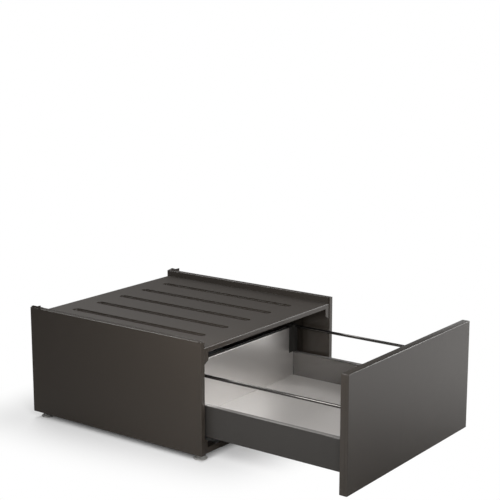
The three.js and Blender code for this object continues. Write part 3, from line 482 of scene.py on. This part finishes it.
def drawer_side_coat(name):
    """The inner colour where |x| < the inner face, else the outer one, and a painted highlight near the
    top.
    """
    material, tree, shader, place = start_finish(name)
    x, _, z = axes(tree, place)
    inside = calculate(tree, "LESS_THAN", calculate(tree, "ABSOLUTE", x), INNER_FACE)
    # painted highlight: how much of the pale band a point gets, rising just below the fold's top
    painted_highlight = mapped(tree, z, FOLD_TOP - TOP_HIGHLIGHT_FROM, FOLD_TOP - TOP_HIGHLIGHT_FULL)
    grain = noise(tree, place, GRAIN_SCALE, detail=1.0)
    walls = [tinted(tree, grain, c, *GRAIN_RANGE, share=0.10) for c in (SIDE_COLOUR, INNER_COLOUR)]
    colour = mixed(tree, painted_highlight, mixed(tree, inside, *walls), (*TOP_HIGHLIGHT_COLOUR, 1))
    peel = noise(tree, place, PEEL_SCALE, detail=2.0)
    metal = calculate(tree, "MULTIPLY", inside, INNER_METAL)
    set_finish(tree, shader, colour, spread(tree, peel, *SIDE_ROUGHNESS), metal)
    bump(tree, shader, peel, PEEL_STRENGTH, edge=FOLD_EDGE)
    return material


side_coat = drawer_side_coat("drawer_side_coat")
print("the fold's top is at", round(FOLD_TOP / MM, 1), "mm")

# %% [markdown]
# ## Metals
#
# The runners are rolled and zinc plated: faint crystals, and long rolling marks along the runner. The
# railings are drawn bars, dark and bright, with finer marks along them. The drawer's back wall has a
# light satin coat. A strong grain would break up the glow on it, so it has only broad, faint clouds.

# %% Zinc, drawn bar and satin metal
ROLLING_MARKS = (900, 12, 900)  # in a metre along x, y and z
ZINC_ROUGHNESS = (0.26, 0.40)
DRAWING_MARKS = (250, 4, 250)
BAR_ROUGHNESS = (0.21, 0.24)
BAR_METAL = 0.9
WALL_CLOUDS = (5, 14, 14)
WALL_ROUGHNESS = (0.28, 0.32)
WALL_METAL = 0.72


def zinc_plate(name, colour):
    """Crystals tint the colour, and the rolling marks give the roughness and the relief."""
    material, tree, shader, place = start_finish(name)
    spangle = tinted(tree, cells(tree, place, scale=260), colour, low=0.2, high=0.8, share=0.10)
    rolled = marks(tree, place, ROLLING_MARKS, detail=3.0)
    set_finish(tree, shader, spangle, spread(tree, rolled, *ZINC_ROUGHNESS), metallic=1.0)
    bump(tree, shader, rolled, strength=0.08)
    return material


def drawn_bar(name, colour):
    """Marks along y, the way the bar was drawn, tint the colour and spread the roughness."""
    material, tree, shader, place = start_finish(name)
    drawn = marks(tree, place, DRAWING_MARKS, detail=0.0)
    tint = tinted(tree, drawn, colour, low=0.0, high=1.0, share=0.08)
    set_finish(tree, shader, tint, spread(tree, drawn, *BAR_ROUGHNESS), BAR_METAL)
    return material


def satin_metal(name, colour):
    """Broad clouds tint the colour and spread the roughness."""
    material, tree, shader, place = start_finish(name)
    cloud = marks(tree, place, WALL_CLOUDS, detail=0.0)
    tint = tinted(tree, cloud, colour, low=0.0, high=1.0, share=0.02)
    set_finish(tree, shader, tint, spread(tree, cloud, *WALL_ROUGHNESS), WALL_METAL)
    return material


zinc = zinc_plate("bright_zinc", (0.56, 0.57, 0.58))
ball_steel = zinc_plate("polished_steel", (0.62, 0.62, 0.62))
bar_coat = drawn_bar("dark_drawn_bar", (0.12, 0.114, 0.108))
satin = satin_metal("satin_back_wall", (0.67, 0.645, 0.622))
print("metals:", zinc.name, ball_steel.name, bar_coat.name, satin.name)

# %% [markdown]
# ## Board, plastic and rubber
#
# The floor board is faced with a light grey melamine film that has a fine pearl. The mouldings have
# the even grain of a spark-eroded mould. Both are one fine noise, which tints the colour, spreads the
# roughness and raises the surface. The raw core board shows its chips, which are flattened cells.

# %% Board, plastic and rubber
BOARD_ROUGHNESS = (0.20, 0.28)
MOULD_GLOSS = 0.06  # how far the grain raises and lowers the roughness
CHIP_PRESS = (1, 3, 1)  # the chips lie flat in the board, so they are thin along y
CHIP_COLOURS = [(0.1, (0.25, 0.17, 0.10)), (0.5, (0.42, 0.31, 0.19)), (0.9, (0.60, 0.47, 0.31))]
CHIP_ROUGHNESS = 0.9


def faced_board(name, colour):
    """The pearl tints the colour, spreads the roughness and gives a slight relief."""
    material, tree, shader, place = start_finish(name)
    pearl = noise(tree, place, scale=900, detail=3.0)
    tint = tinted(tree, pearl, colour, *NOISE_RANGE, share=0.04)
    set_finish(tree, shader, tint, spread(tree, pearl, *BOARD_ROUGHNESS))
    bump(tree, shader, pearl, strength=0.10)
    return material


def moulding(name, colour, roughness):
    """The grain tints the colour, spreads the roughness and gives the relief."""
    material, tree, shader, place = start_finish(name)
    grain = noise(tree, place, scale=1800, detail=2.0)
    tint = tinted(tree, grain, colour, *NOISE_RANGE, share=0.08)
    gloss = spread(tree, grain, roughness - MOULD_GLOSS, roughness + MOULD_GLOSS)
    set_finish(tree, shader, tint, gloss)
    bump(tree, shader, grain, strength=0.2)
    return material


def chipboard(name):
    """Flattened cells choose among three chip colours, and a coarser noise gives the relief."""
    material, tree, shader, place = start_finish(name)
    chips = cells(tree, stretched(tree, place, CHIP_PRESS), scale=240)
    set_finish(tree, shader, ramp(tree, chips, CHIP_COLOURS), CHIP_ROUGHNESS)
    bump(tree, shader, noise(tree, place, scale=500, detail=3.0), strength=0.4, depth=4 * RELIEF)
    return material


board = faced_board("melamine_board", (0.54, 0.517, 0.497))
core = chipboard("chipboard_core")
dark_plastic = moulding("dark_moulding", (0.040, 0.038, 0.035), roughness=0.5)
pale_plastic = moulding("pale_moulding", (0.52, 0.51, 0.49), roughness=0.5)
rubber = moulding("black_rubber", (0.018, 0.018, 0.018), roughness=0.8)
print("others:", board.name, core.name, dark_plastic.name, pale_plastic.name, rubber.name)

# %% [markdown]
# ## Which finish goes on which node
#
# The record names a material slot for each node, so one small table gives every node its finish. Three
# nodes have a finish of their own.

# %% Dress the CAD nodes
FINISHES = {
    "anthracite": cabinet_coat,
    "front_paint": front_coat,
    "zinc": zinc,
    "satin_steel": satin,
    "dark_plastic": dark_plastic,
    "pale_plastic": pale_plastic,
    "board": board,
    "core_board": core,
    "rubber": rubber,
}
SPECIAL = {
    "drawer_side_left": side_coat,
    "drawer_side_right": side_coat,
    "deck_plate": deck_coat,
}


def dress_nodes():
    """Gives each node its own finish, or else its slot's, and returns how many there are."""
    parts = frame["record"]["subparts"]
    for part in parts:
        node = NODES[part["node"]]
        node.data.materials.clear()
        node.data.materials.append(SPECIAL.get(part["node"], FINISHES[part["material_slot"]]))
    return len(parts)


print(dress_nodes(), "nodes dressed")

# %% [markdown]
# ## From a grid of points to a piece
#
# Every new piece below is a surface worked out with numpy: a grid of points, whose rows run along the
# piece and whose columns run round it. The grid's neighbours are joined to four-sided faces, the two
# ends are closed, and points that fall together at a pole become one. The normals are turned outwards,
# and edges sharper than a set angle stay crisp.

# %% Grids, shells and pieces
CRISP = math.radians(32)
SAME_POINT = 1e-7  # points closer than this become one


def shell(points):
    """Corners and faces of a closed tube: point [row, column], columns joined round, ends capped."""
    rows, columns = points.shape[:2]
    row, column = np.meshgrid(np.arange(rows - 1), np.arange(columns), indexing="ij")
    after = (column + 1) % columns
    quads = np.stack(
        [row * columns + column, row * columns + after,
         (row + 1) * columns + after, (row + 1) * columns + column],
        axis=-1,
    )
    first = list(range(columns))[::-1]
    last = list(range((rows - 1) * columns, rows * columns))
    return points.reshape(-1, 3), quads.reshape(-1, 4).tolist() + [first, last]


def build_mesh(name, shells):
    """One mesh from several shells, its doubled points merged and its faces turned outwards."""
    mesh = bpy.data.meshes.new(name)
    corners = []
    faces = []
    for points, own_faces in shells:
        start = len(corners)
        corners.extend(points.tolist())
        faces.extend([[start + i for i in face] for face in own_faces])
    mesh.from_pydata(corners, [], faces)
    work = bmesh.new()
    work.from_mesh(mesh)
    bmesh.ops.remove_doubles(work, verts=work.verts, dist=SAME_POINT)
    bmesh.ops.recalc_face_normals(work, faces=work.faces)
    work.to_mesh(mesh)
    work.free()
    mesh.polygons.foreach_set("use_smooth", [True] * len(mesh.polygons))
    mesh.set_sharp_from_angle(angle=CRISP)
    return mesh


def add_piece(name, shells, finish, body, stands_for=None):
    """Puts a new piece in the scene, on its body, with its finish, and hides the node it stands for."""
    mesh = build_mesh(name, shells)
    mesh.materials.append(finish)
    piece = bpy.data.objects.new(name, mesh)
    bpy.context.scene.collection.objects.link(piece)
    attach(piece, body)
    if stands_for:
        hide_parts(stands_for)


def turned(radii, heights, centre, axis="z", sides=48):
    """Rings about an axis: each row is a ring, its radius the same all round or given per column.

    A point is centre + radius * (cos angle, sin angle) across the axis, and its height along it.
    """
    angle = np.linspace(0, 2 * np.pi, sides, endpoint=False)
    radius = np.broadcast_to(np.asarray(radii, float).reshape(len(radii), -1), (len(radii), sides))
    height = np.broadcast_to(np.asarray(heights, float).reshape(len(radii), -1), radius.shape)
    across, up = radius * np.cos(angle), radius * np.sin(angle)
    x, y, z = centre
    if axis == "z":
        points = [x + across, y + up, z + height]
    elif axis == "y":
        points = [x + across, y + height, z + up]
    else:
        points = [x + height, y + across, z + up]
    return shell(np.stack(points, axis=-1))


def box_of(node):
    """The middle of a node's box, and its lowest and highest corner."""
    low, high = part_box(node)
    return (np.array(low) + np.array(high)) / 2, np.array(low), np.array(high)


print("a test ring has", len(turned([0, 1, 0], [0, 1, 2], (0, 0, 0))[0]), "points")

# %% [markdown]
# ## Levelling feet
#
# Each foot is a screw with a moulded pad on its lower end, and a lock nut under the cabinet's corner.
# The CAD model has a plain rod for the screw. A bump could only paint a thread on it, and its outline
# would stay straight. A real thread is a ridge that winds round the rod, so its radius depends on
# height and angle together: one full turn lifts the ridge by one pitch.

# %% Threaded foot screws
THREAD_PITCH = 1.5 * MM
THREAD_DEPTH = 0.9 * MM
ROWS_PER_TURN = 6
THREAD_SIDES = 24


def threaded_rod(middle, bottom, top, radius):
    """Radius = rod - depth * (1 - ridge), where ridge rises and falls once per pitch and turn.

    Both ends are chamfered: the radius is at most rod - depth + the way to the nearer end.
    """
    length = top - bottom
    height = np.linspace(0, length, int(length / THREAD_PITCH * ROWS_PER_TURN) + 1)[:, None]
    turn = np.linspace(0, 1, THREAD_SIDES, endpoint=False)[None, :]
    phase = (height / THREAD_PITCH - turn) % 1
    ridge = np.abs(2 * phase - 1)
    chamfer = radius - THREAD_DEPTH + np.minimum(height, length - height)
    radii = np.minimum(radius - THREAD_DEPTH * (1 - ridge), chamfer)
    return turned(radii, height[:, 0], (middle[0], middle[1], bottom), sides=THREAD_SIDES)


print("a foot screw has a pitch of", THREAD_PITCH / MM, "mm")

# %% [markdown]
# The pad is a turned moulding with a socket for the screw, and ribs that stiffen its cone. It is one
# profile carried round, and the cone sinks in between the ribs by a smooth wave of the angle.

# %% Moulded pads
PAD_RADIUS = 18 * MM  # of the profile as it is written
PAD_PROFILE = np.array([
    (0, 0.0), (11.8, 0.0), (12.1, 0.5), (12.9, 0.5), (13.2, 0.0), (16.9, 0.0), (17.55, 0.15),
    (17.9, 0.5), (18.0, 1.0), (18.0, 2.3), (17.8, 2.8), (17.3, 3.1), (16.6, 3.7), (15.0, 5.3),
    (13.4, 6.9), (12.0, 8.3), (11.2, 9.1), (11.0, 9.5), (10.8, 9.85), (10.4, 10.0), (6.0, 10.0),
    (5.4, 9.5), (5.3, 9.0), (5.3, 5.7), (0, 5.7),
]) * MM  # radius and height
PAD_SIDES = 96
CONE_INSIDE = 10 * MM  # the cone's smallest radius
CONE_FROM = 3.1 * MM
CONE_TO = 9.3 * MM
CONE_FADE = 0.8 * MM  # over which the hollows between the ribs run out
RIBS = 12
RIB_DEPTH = 0.8 * MM
RIB_STEEPNESS = 9
RIB_LEVEL = 0.3  # of the wave, from which a rib stands out


def foot_pad(middle, bottom, radius):
    """A turned profile whose cone is sunk between its ribs: radius - depth * (1 - rib) * on_cone."""
    turn = np.linspace(0, 1, PAD_SIDES, endpoint=False)[None, :]
    rib = 1 / (1 + np.exp(-RIB_STEEPNESS * (np.cos(2 * np.pi * RIBS * turn) - RIB_LEVEL)))
    reach, height = PAD_PROFILE[:, 0:1], PAD_PROFILE[:, 1:2]
    rising = np.clip((height - CONE_FROM) / CONE_FADE, 0, 1)
    falling = np.clip((CONE_TO - height) / CONE_FADE, 0, 1)
    on_cone = rising * falling * (reach > CONE_INSIDE)
    radii = (reach - RIB_DEPTH * (1 - rib) * on_cone) * radius / PAD_RADIUS
    return turned(radii, height[:, 0], (middle[0], middle[1], bottom), sides=PAD_SIDES)


print("a pad has", RIBS, "ribs")

# %% [markdown]
# A nut is a hexagon whose corners are turned off above and below. Cutting a prism with a cone would
# give the same curved edges, but here they follow from one rule: at every angle the chamfer drops by
# as much as the hexagon reaches past its flats, times the chamfer's slope.

# %% Chamfered nuts
NUT_SIDES = 72
NUT_BORE = 4.6 * MM
NUT_SLOPE = math.tan(math.radians(30))
NUT_FACE = 0.97  # share of the half width that stays flat above and below
NUT_EASE = 0.1 * MM  # how far the chamfer drops in the middle of a flat


def hexagon(flat, sides):
    """Radius = half width across the flats / cos(angle from the middle of the nearest flat)."""
    turn = np.linspace(0, 1, sides, endpoint=False)
    within = (turn * 6 + 0.5) % 1 - 0.5
    return flat / np.cos(within * np.pi / 3)


def lock_nut(middle, bottom, top, flat):
    """Rings up the outside and back down the bore; chamfer = (hexagon - flat) * slope + ease."""
    outside = hexagon(flat, NUT_SIDES)
    chamfer = (outside - flat) * NUT_SLOPE + NUT_EASE
    bore = np.full(NUT_SIDES, NUT_BORE)
    face = np.full(NUT_SIDES, flat * NUT_FACE)
    under = np.zeros(NUT_SIDES)
    over = np.full(NUT_SIDES, top - bottom)
    radii = [bore, face, outside, outside, face, bore, bore]
    heights = [under, under, chamfer, over - chamfer, over, over, under]
    return turned(radii, heights, (middle[0], middle[1], bottom), sides=NUT_SIDES)


print("a nut has", NUT_SIDES, "points round each ring")

# %% [markdown]
# With the three shapes at hand the feet are fitted. The screw and the pad ride on their foot, and the
# lock nut rides on the cabinet, so it stays where it is when a foot is screwed out.

# %% Fit the feet
CORNERS = ["front_left", "front_right", "rear_left", "rear_right"]


def fit_feet():
    """Each new piece takes its middle, height and width from the box of the node it replaces."""
    for corner in CORNERS:
        foot = f"foot_{corner}"
        middle, low, high = box_of(f"foot_stud_{corner}")
        rod = threaded_rod(middle, low[2], high[2], (high[1] - low[1]) / 2)
        add_piece(f"foot_screw_{corner}", [rod], zinc, foot, f"foot_stud_{corner}")
        middle, low, high = box_of(f"foot_pad_{corner}")
        pad = foot_pad(middle, low[2], (high[0] - low[0]) / 2)
        add_piece(f"foot_sole_{corner}", [pad], pale_plastic, foot, f"foot_pad_{corner}")
        middle, low, high = box_of(f"foot_nut_{corner}")
        nut = lock_nut(middle, low[2], high[2], min(high[0] - low[0], high[1] - low[1]) / 2)
        add_piece(f"lock_nut_{corner}", [nut], zinc, "cabinet", f"foot_nut_{corner}")


fit_feet()
print("feet fitted at", [[round(v / MM) for v in box_of(f"foot_pad_{c}")[0][:2]] for c in CORNERS])

# %% [markdown]
# ## Railings and their sockets
#
# A railing is a drawn round bar, so close up it needs more sides than the CAD rod has, and eased ends.
# The socket is a small turned cup on the drawer front's inner face. Both are a profile turned about a
# line along y, which is simpler than a cylinder that is bevelled and cut.

# %% Fit the railings
BAR_END = np.array([(0, 0), (3.4, 0), (3.8, 0.15), (4.0, 0.6)]) * MM  # radius and height
SOCKET_CUP = np.array([
    (0, 0), (8.0, 0), (8.0, 2.2), (7.8, 2.7), (7.3, 3.0), (7.0, 3.6), (6.9, 10.4), (6.7, 11.2),
    (6.2, 11.8), (5.6, 12.0), (4.9, 12.0), (4.5, 11.7), (4.3, 11.2), (4.3, 2.0), (0, 2.0),
]) * MM


def turned_along_y(node, profile):
    """The profile turned about a line along y through the middle of a node, from its front end."""
    middle, low, _ = box_of(node)
    return turned(profile[:, 0], profile[:, 1], (middle[0], low[1], middle[2]), "y")


def fit_railings():
    """A bar is its end's profile, and the same one mirrored at the bar's length."""
    for side in ("left", "right"):
        _, low, high = box_of(f"railing_{side}")
        line = np.vstack([BAR_END, BAR_END[::-1] * (1, -1) + (0, high[1] - low[1])])
        bar = turned_along_y(f"railing_{side}", line)
        add_piece(f"round_bar_{side}", [bar], bar_coat, "drawer", f"railing_{side}")
        socket = f"railing_socket_{side}"
        cup = turned_along_y(socket, SOCKET_CUP)
        add_piece(f"bar_socket_{side}", [cup], dark_plastic, "drawer", socket)


fit_railings()
print("railings", [round(v / MM) for v in box_of("railing_left")[0]])

# %% [markdown]
# ## The drawer front's two pans
#
# The front is two shallow steel pans, edge to edge round a board. What shows most is how their edges
# catch the light. A box with a Bevel modifier would round every edge alike, so each pan is a profile
# carried round a rectangle with small round corners: up the inside of the rim, over its end, down the
# outside, round the edge and onto the face.

# %% Pans
PAN_SHEET = 1.0 * MM
PAN_ROUND = 1.5 * MM
PAN_CORNER = 1.5 * MM
LEAST_CORNER = 0.05 * MM
FLAT_BAND = 1.0 * MM  # a flat ring round the face, so that its shading is flat as well
ROUND_STEPS = 8
CORNER_STEPS = 5


def rounded_rectangle(low, high, inwards):
    """Points round a rectangle (x, z), moved inwards, with a quarter circle at each corner.

    A corner point is the corner's centre + radius * (cos angle, sin angle).
    """
    radius = max(PAN_CORNER - inwards, LEAST_CORNER)
    x0, x1 = low[0] + inwards + radius, high[0] - inwards - radius
    z0, z1 = low[2] + inwards + radius, high[2] - inwards - radius
    centres = np.array([(x1, z1), (x0, z1), (x0, z0), (x1, z0)])
    quarter = np.linspace(0, np.pi / 2, CORNER_STEPS)
    angle = (np.arange(4)[:, None] * np.pi / 2 + quarter).reshape(-1)
    arms = np.stack([np.cos(angle), np.sin(angle)], axis=-1) * radius
    return np.repeat(centres, CORNER_STEPS, axis=0) + arms


def pan(low, high, face, rim):
    """Rows of the rounded rectangle along the profile; face and rim are the y of the pan's two ends.

    The rounded edge goes inwards by round * (1 - cos angle), and lies round * (1 - sin angle) from
    the face.
    """
    away = 1 if rim > face else -1
    angle = np.linspace(0, np.pi / 2, ROUND_STEPS)
    edge_in = PAN_ROUND * (1 - np.cos(angle))
    edge_y = face + away * PAN_ROUND * (1 - np.sin(angle))
    inner = [(PAN_SHEET, face + away * PAN_SHEET), (PAN_SHEET, rim), (0, rim)]
    profile = inner + list(zip(edge_in, edge_y)) + [(PAN_ROUND + FLAT_BAND, face)]
    rows = []
    for inwards, y in profile:
        outline = rounded_rectangle(low, high, inwards)
        rows.append(np.stack([outline[:, 0], np.full(len(outline), y), outline[:, 1]], axis=-1))
    return shell(np.array(rows))


def fit_pans():
    """The outer pan faces the front and the inner one the drawer; returns the inner one's size."""
    _, low, high = box_of("front_outer_panel")
    outer = pan(low, high, low[1], high[1])
    add_piece("front_pan", [outer], front_coat, "drawer", "front_outer_panel")
    _, low, high = box_of("front_inner_panel")
    inner = pan(low, high, high[1], low[1])
    add_piece("front_back_pan", [inner], front_coat, "drawer", "front_inner_panel")
    return high - low


print("pans, mm:", [round(v / MM, 1) for v in fit_pans()])

# %% [markdown]
# ## Runner balls
#
# The cages hold hard steel balls. The CAD cages have coarse stand-ins in the right places; each gets a
# smooth ball a hair larger, so that polished steel shows in the dark cage. A ball's rings run from pole
# to pole, and few are enough, because a ball is under 5 mm across.

# %% Balls
BALL_RADIUS = 2.33 * MM
BALL_RINGS = 11
BALL_SIDES = 16
BALLS_IN_ROW = 5
BALL_AWAY = 263.4 * MM  # from the middle of the drawer
RUNNER_HEIGHT = 85.2 * MM
BALL_ROW = {"outer": 17.3 * MM, "inner": 11.3 * MM}  # above and below the runner's middle line
WAYS = [("left", -1), ("right", 1)]  # the two sides, and which way along x each lies


def ball(centre):
    """Rings of radius * sin(angle) at height -radius * cos(angle), from pole to pole."""
    angle = np.linspace(0, np.pi, BALL_RINGS)
    return turned(BALL_RADIUS * np.sin(angle), -BALL_RADIUS * np.cos(angle), centre, sides=BALL_SIDES)


def fit_balls():
    """Spaces the balls evenly along each cage, above and below; returns how many there are."""
    count = 0
    for row, rise in BALL_ROW.items():
        for side, way in WAYS:
            cage = f"{row}_ball_cage_{side}"
            _, low, high = box_of(cage)
            along = low[1] + (np.arange(BALLS_IN_ROW) + 0.5) * (high[1] - low[1]) / BALLS_IN_ROW
            places = [(way * BALL_AWAY, y, RUNNER_HEIGHT + z) for y in along for z in (-rise, rise)]
            add_piece(f"{row}_balls_{side}", [ball(p) for p in places], ball_steel, cage)
            count += len(places)
    return count


print(fit_balls(), "balls")

# %% [markdown]
# ## Screws
#
# Low round heads with a six-lobed socket. A boolean cut would leave ragged faces, so a head is a stack
# of rings from its foot over the dome to the rim of the socket, then down the socket's wall, where the
# rings swell and shrink six times round.

# %% Screw heads
HEAD_SIDES = 36
HEAD_EDGE = 0.25  # share of the head's height that is its straight edge
DOME_RINGS = 6
DOME_ENDS = 0.52  # angle from straight up, in radians
LOBES = 6
SOCKET = 0.36  # share of the head's radius
LOBE_SWELL = 0.07  # share of the head's radius
SOCKET_TAPER = 0.96  # share of the socket's width that is left at its bottom
SOCKET_BOTTOM = 0.3  # share of the head's height


def screw_head(place, axis, way, radius, tall):
    """Rings of a dome and of a lobed socket.

    The dome has radius * sin(angle) at height tall * (edge + (1 - edge) * cos(angle)), and the socket
    has radius * (socket + swell * cos(6 * turn)).
    """
    turn = np.linspace(0, 2 * np.pi, HEAD_SIDES, endpoint=False)
    lobed = radius * (SOCKET + LOBE_SWELL * np.cos(LOBES * turn))
    angle = np.linspace(np.pi / 2, DOME_ENDS, DOME_RINGS)[:, None]
    none = np.zeros(HEAD_SIDES)
    dome = none + radius * np.sin(angle)
    rise = none + tall * (HEAD_EDGE + (1 - HEAD_EDGE) * np.cos(angle))
    top, bottom = none + tall, none + tall * SOCKET_BOTTOM
    radii = np.vstack([none, dome[0], dome, lobed, lobed * SOCKET_TAPER, none])
    heights = np.vstack([none, none, rise, top, bottom, bottom])
    return turned(radii, way * heights, place, axis, HEAD_SIDES)


def fit_screws(name, places, axis, way, head, body):
    """One piece of zinc-plated heads, which point along an axis; head is their radius and height."""
    add_piece(name, [screw_head(p, axis, way, *head) for p in places], zinc, body)
    return len(places)


print("a head has", HEAD_SIDES, "points round each ring")

# %% [markdown]
# Screws hold the back panel, the runner holders, the back wall's brackets and the floor board. Each
# head sits on the piece that its screw goes through, so its place follows from the box of that node
# and a few named distances.

# %% Fit the screws
BACK_HEAD = (4.0 * MM, 1.2 * MM)  # radius and height
BACK_ACROSS = np.linspace(-240, 240, 5) * MM
BACK_UP = (33 * MM, 288 * MM)
HOLDER_HEAD = (3.5 * MM, 1.8 * MM)
HOLDER_SHEET = 1.5 * MM
HOLDER_ALONG = np.array([0.25, 0.75])  # shares of the holder's length
HOLDER_DOWN = 9 * MM  # below the holder's top
BRACKET_HEAD = (3.5 * MM, 1.6 * MM)
BRACKET_OUT = 11 * MM  # outwards from the bracket's inner face
BRACKET_LOWER = (12 * MM, 93 * MM)  # in front of the bracket's rear end, and above the ground
BRACKET_UPPER = (13.5 * MM, 176 * MM)
FLOOR_HEAD = (3.5 * MM, 1.2 * MM)
FLOOR_SEAT_OUT = 5 * MM  # outwards from the drawer side's inner face
FLOOR_SEAT_BOTTOM = 58.5 * MM
FLOOR_END = 60 * MM  # from the drawer side's two ends
FLOOR_SCREWS = 4


def back_screws():
    """Two rows across the back panel."""
    rear = box_of("back_panel")[2][1]
    places = [(x, rear, z) for z in BACK_UP for x in BACK_ACROSS]
    return fit_screws("back_panel_screws", places, "y", 1, BACK_HEAD, "cabinet")


def holder_screws(row, side, way):
    """Two heads on the inner face of a runner holder's wall."""
    _, low, high = box_of(f"runner_holder_{row}_{side}")
    wall = (low[0] if side == "left" else high[0]) - way * HOLDER_SHEET
    along = HOLDER_ALONG * (high[1] - low[1]) + low[1]
    places = [(wall, y, high[2] - HOLDER_DOWN) for y in along]
    return fit_screws(f"holder_screws_{row}_{side}", places, "x", -way, HOLDER_HEAD, "cabinet")


def bracket_screws(side, way):
    """Two heads at the rear of a back bracket."""
    _, low, high = box_of(f"back_bracket_{side}")
    x = (high[0] if side == "left" else low[0]) + way * BRACKET_OUT
    places = [(x, high[1] - ahead, up) for ahead, up in (BRACKET_LOWER, BRACKET_UPPER)]
    return fit_screws(f"bracket_screws_{side}", places, "y", 1, BRACKET_HEAD, "drawer")


def floor_screws(side, way):
    """A row of heads under the seat of the floor board."""
    _, low, high = box_of(f"drawer_side_{side}")
    x = (high[0] if side == "left" else low[0]) + way * FLOOR_SEAT_OUT
    along = np.linspace(low[1] + FLOOR_END, high[1] - FLOOR_END, FLOOR_SCREWS)
    places = [(x, y, FLOOR_SEAT_BOTTOM) for y in along]
    return fit_screws(f"floor_screws_{side}", places, "z", -1, FLOOR_HEAD, "drawer")


def all_screws():
    """Fits every group and returns how many heads there are."""
    count = back_screws()
    for side, way in WAYS:
        count += holder_screws("front", side, way)
        count += holder_screws("rear", side, way)
        count += bracket_screws(side, way)
        count += floor_screws(side, way)
    return count


print(all_screws(), "screw heads")
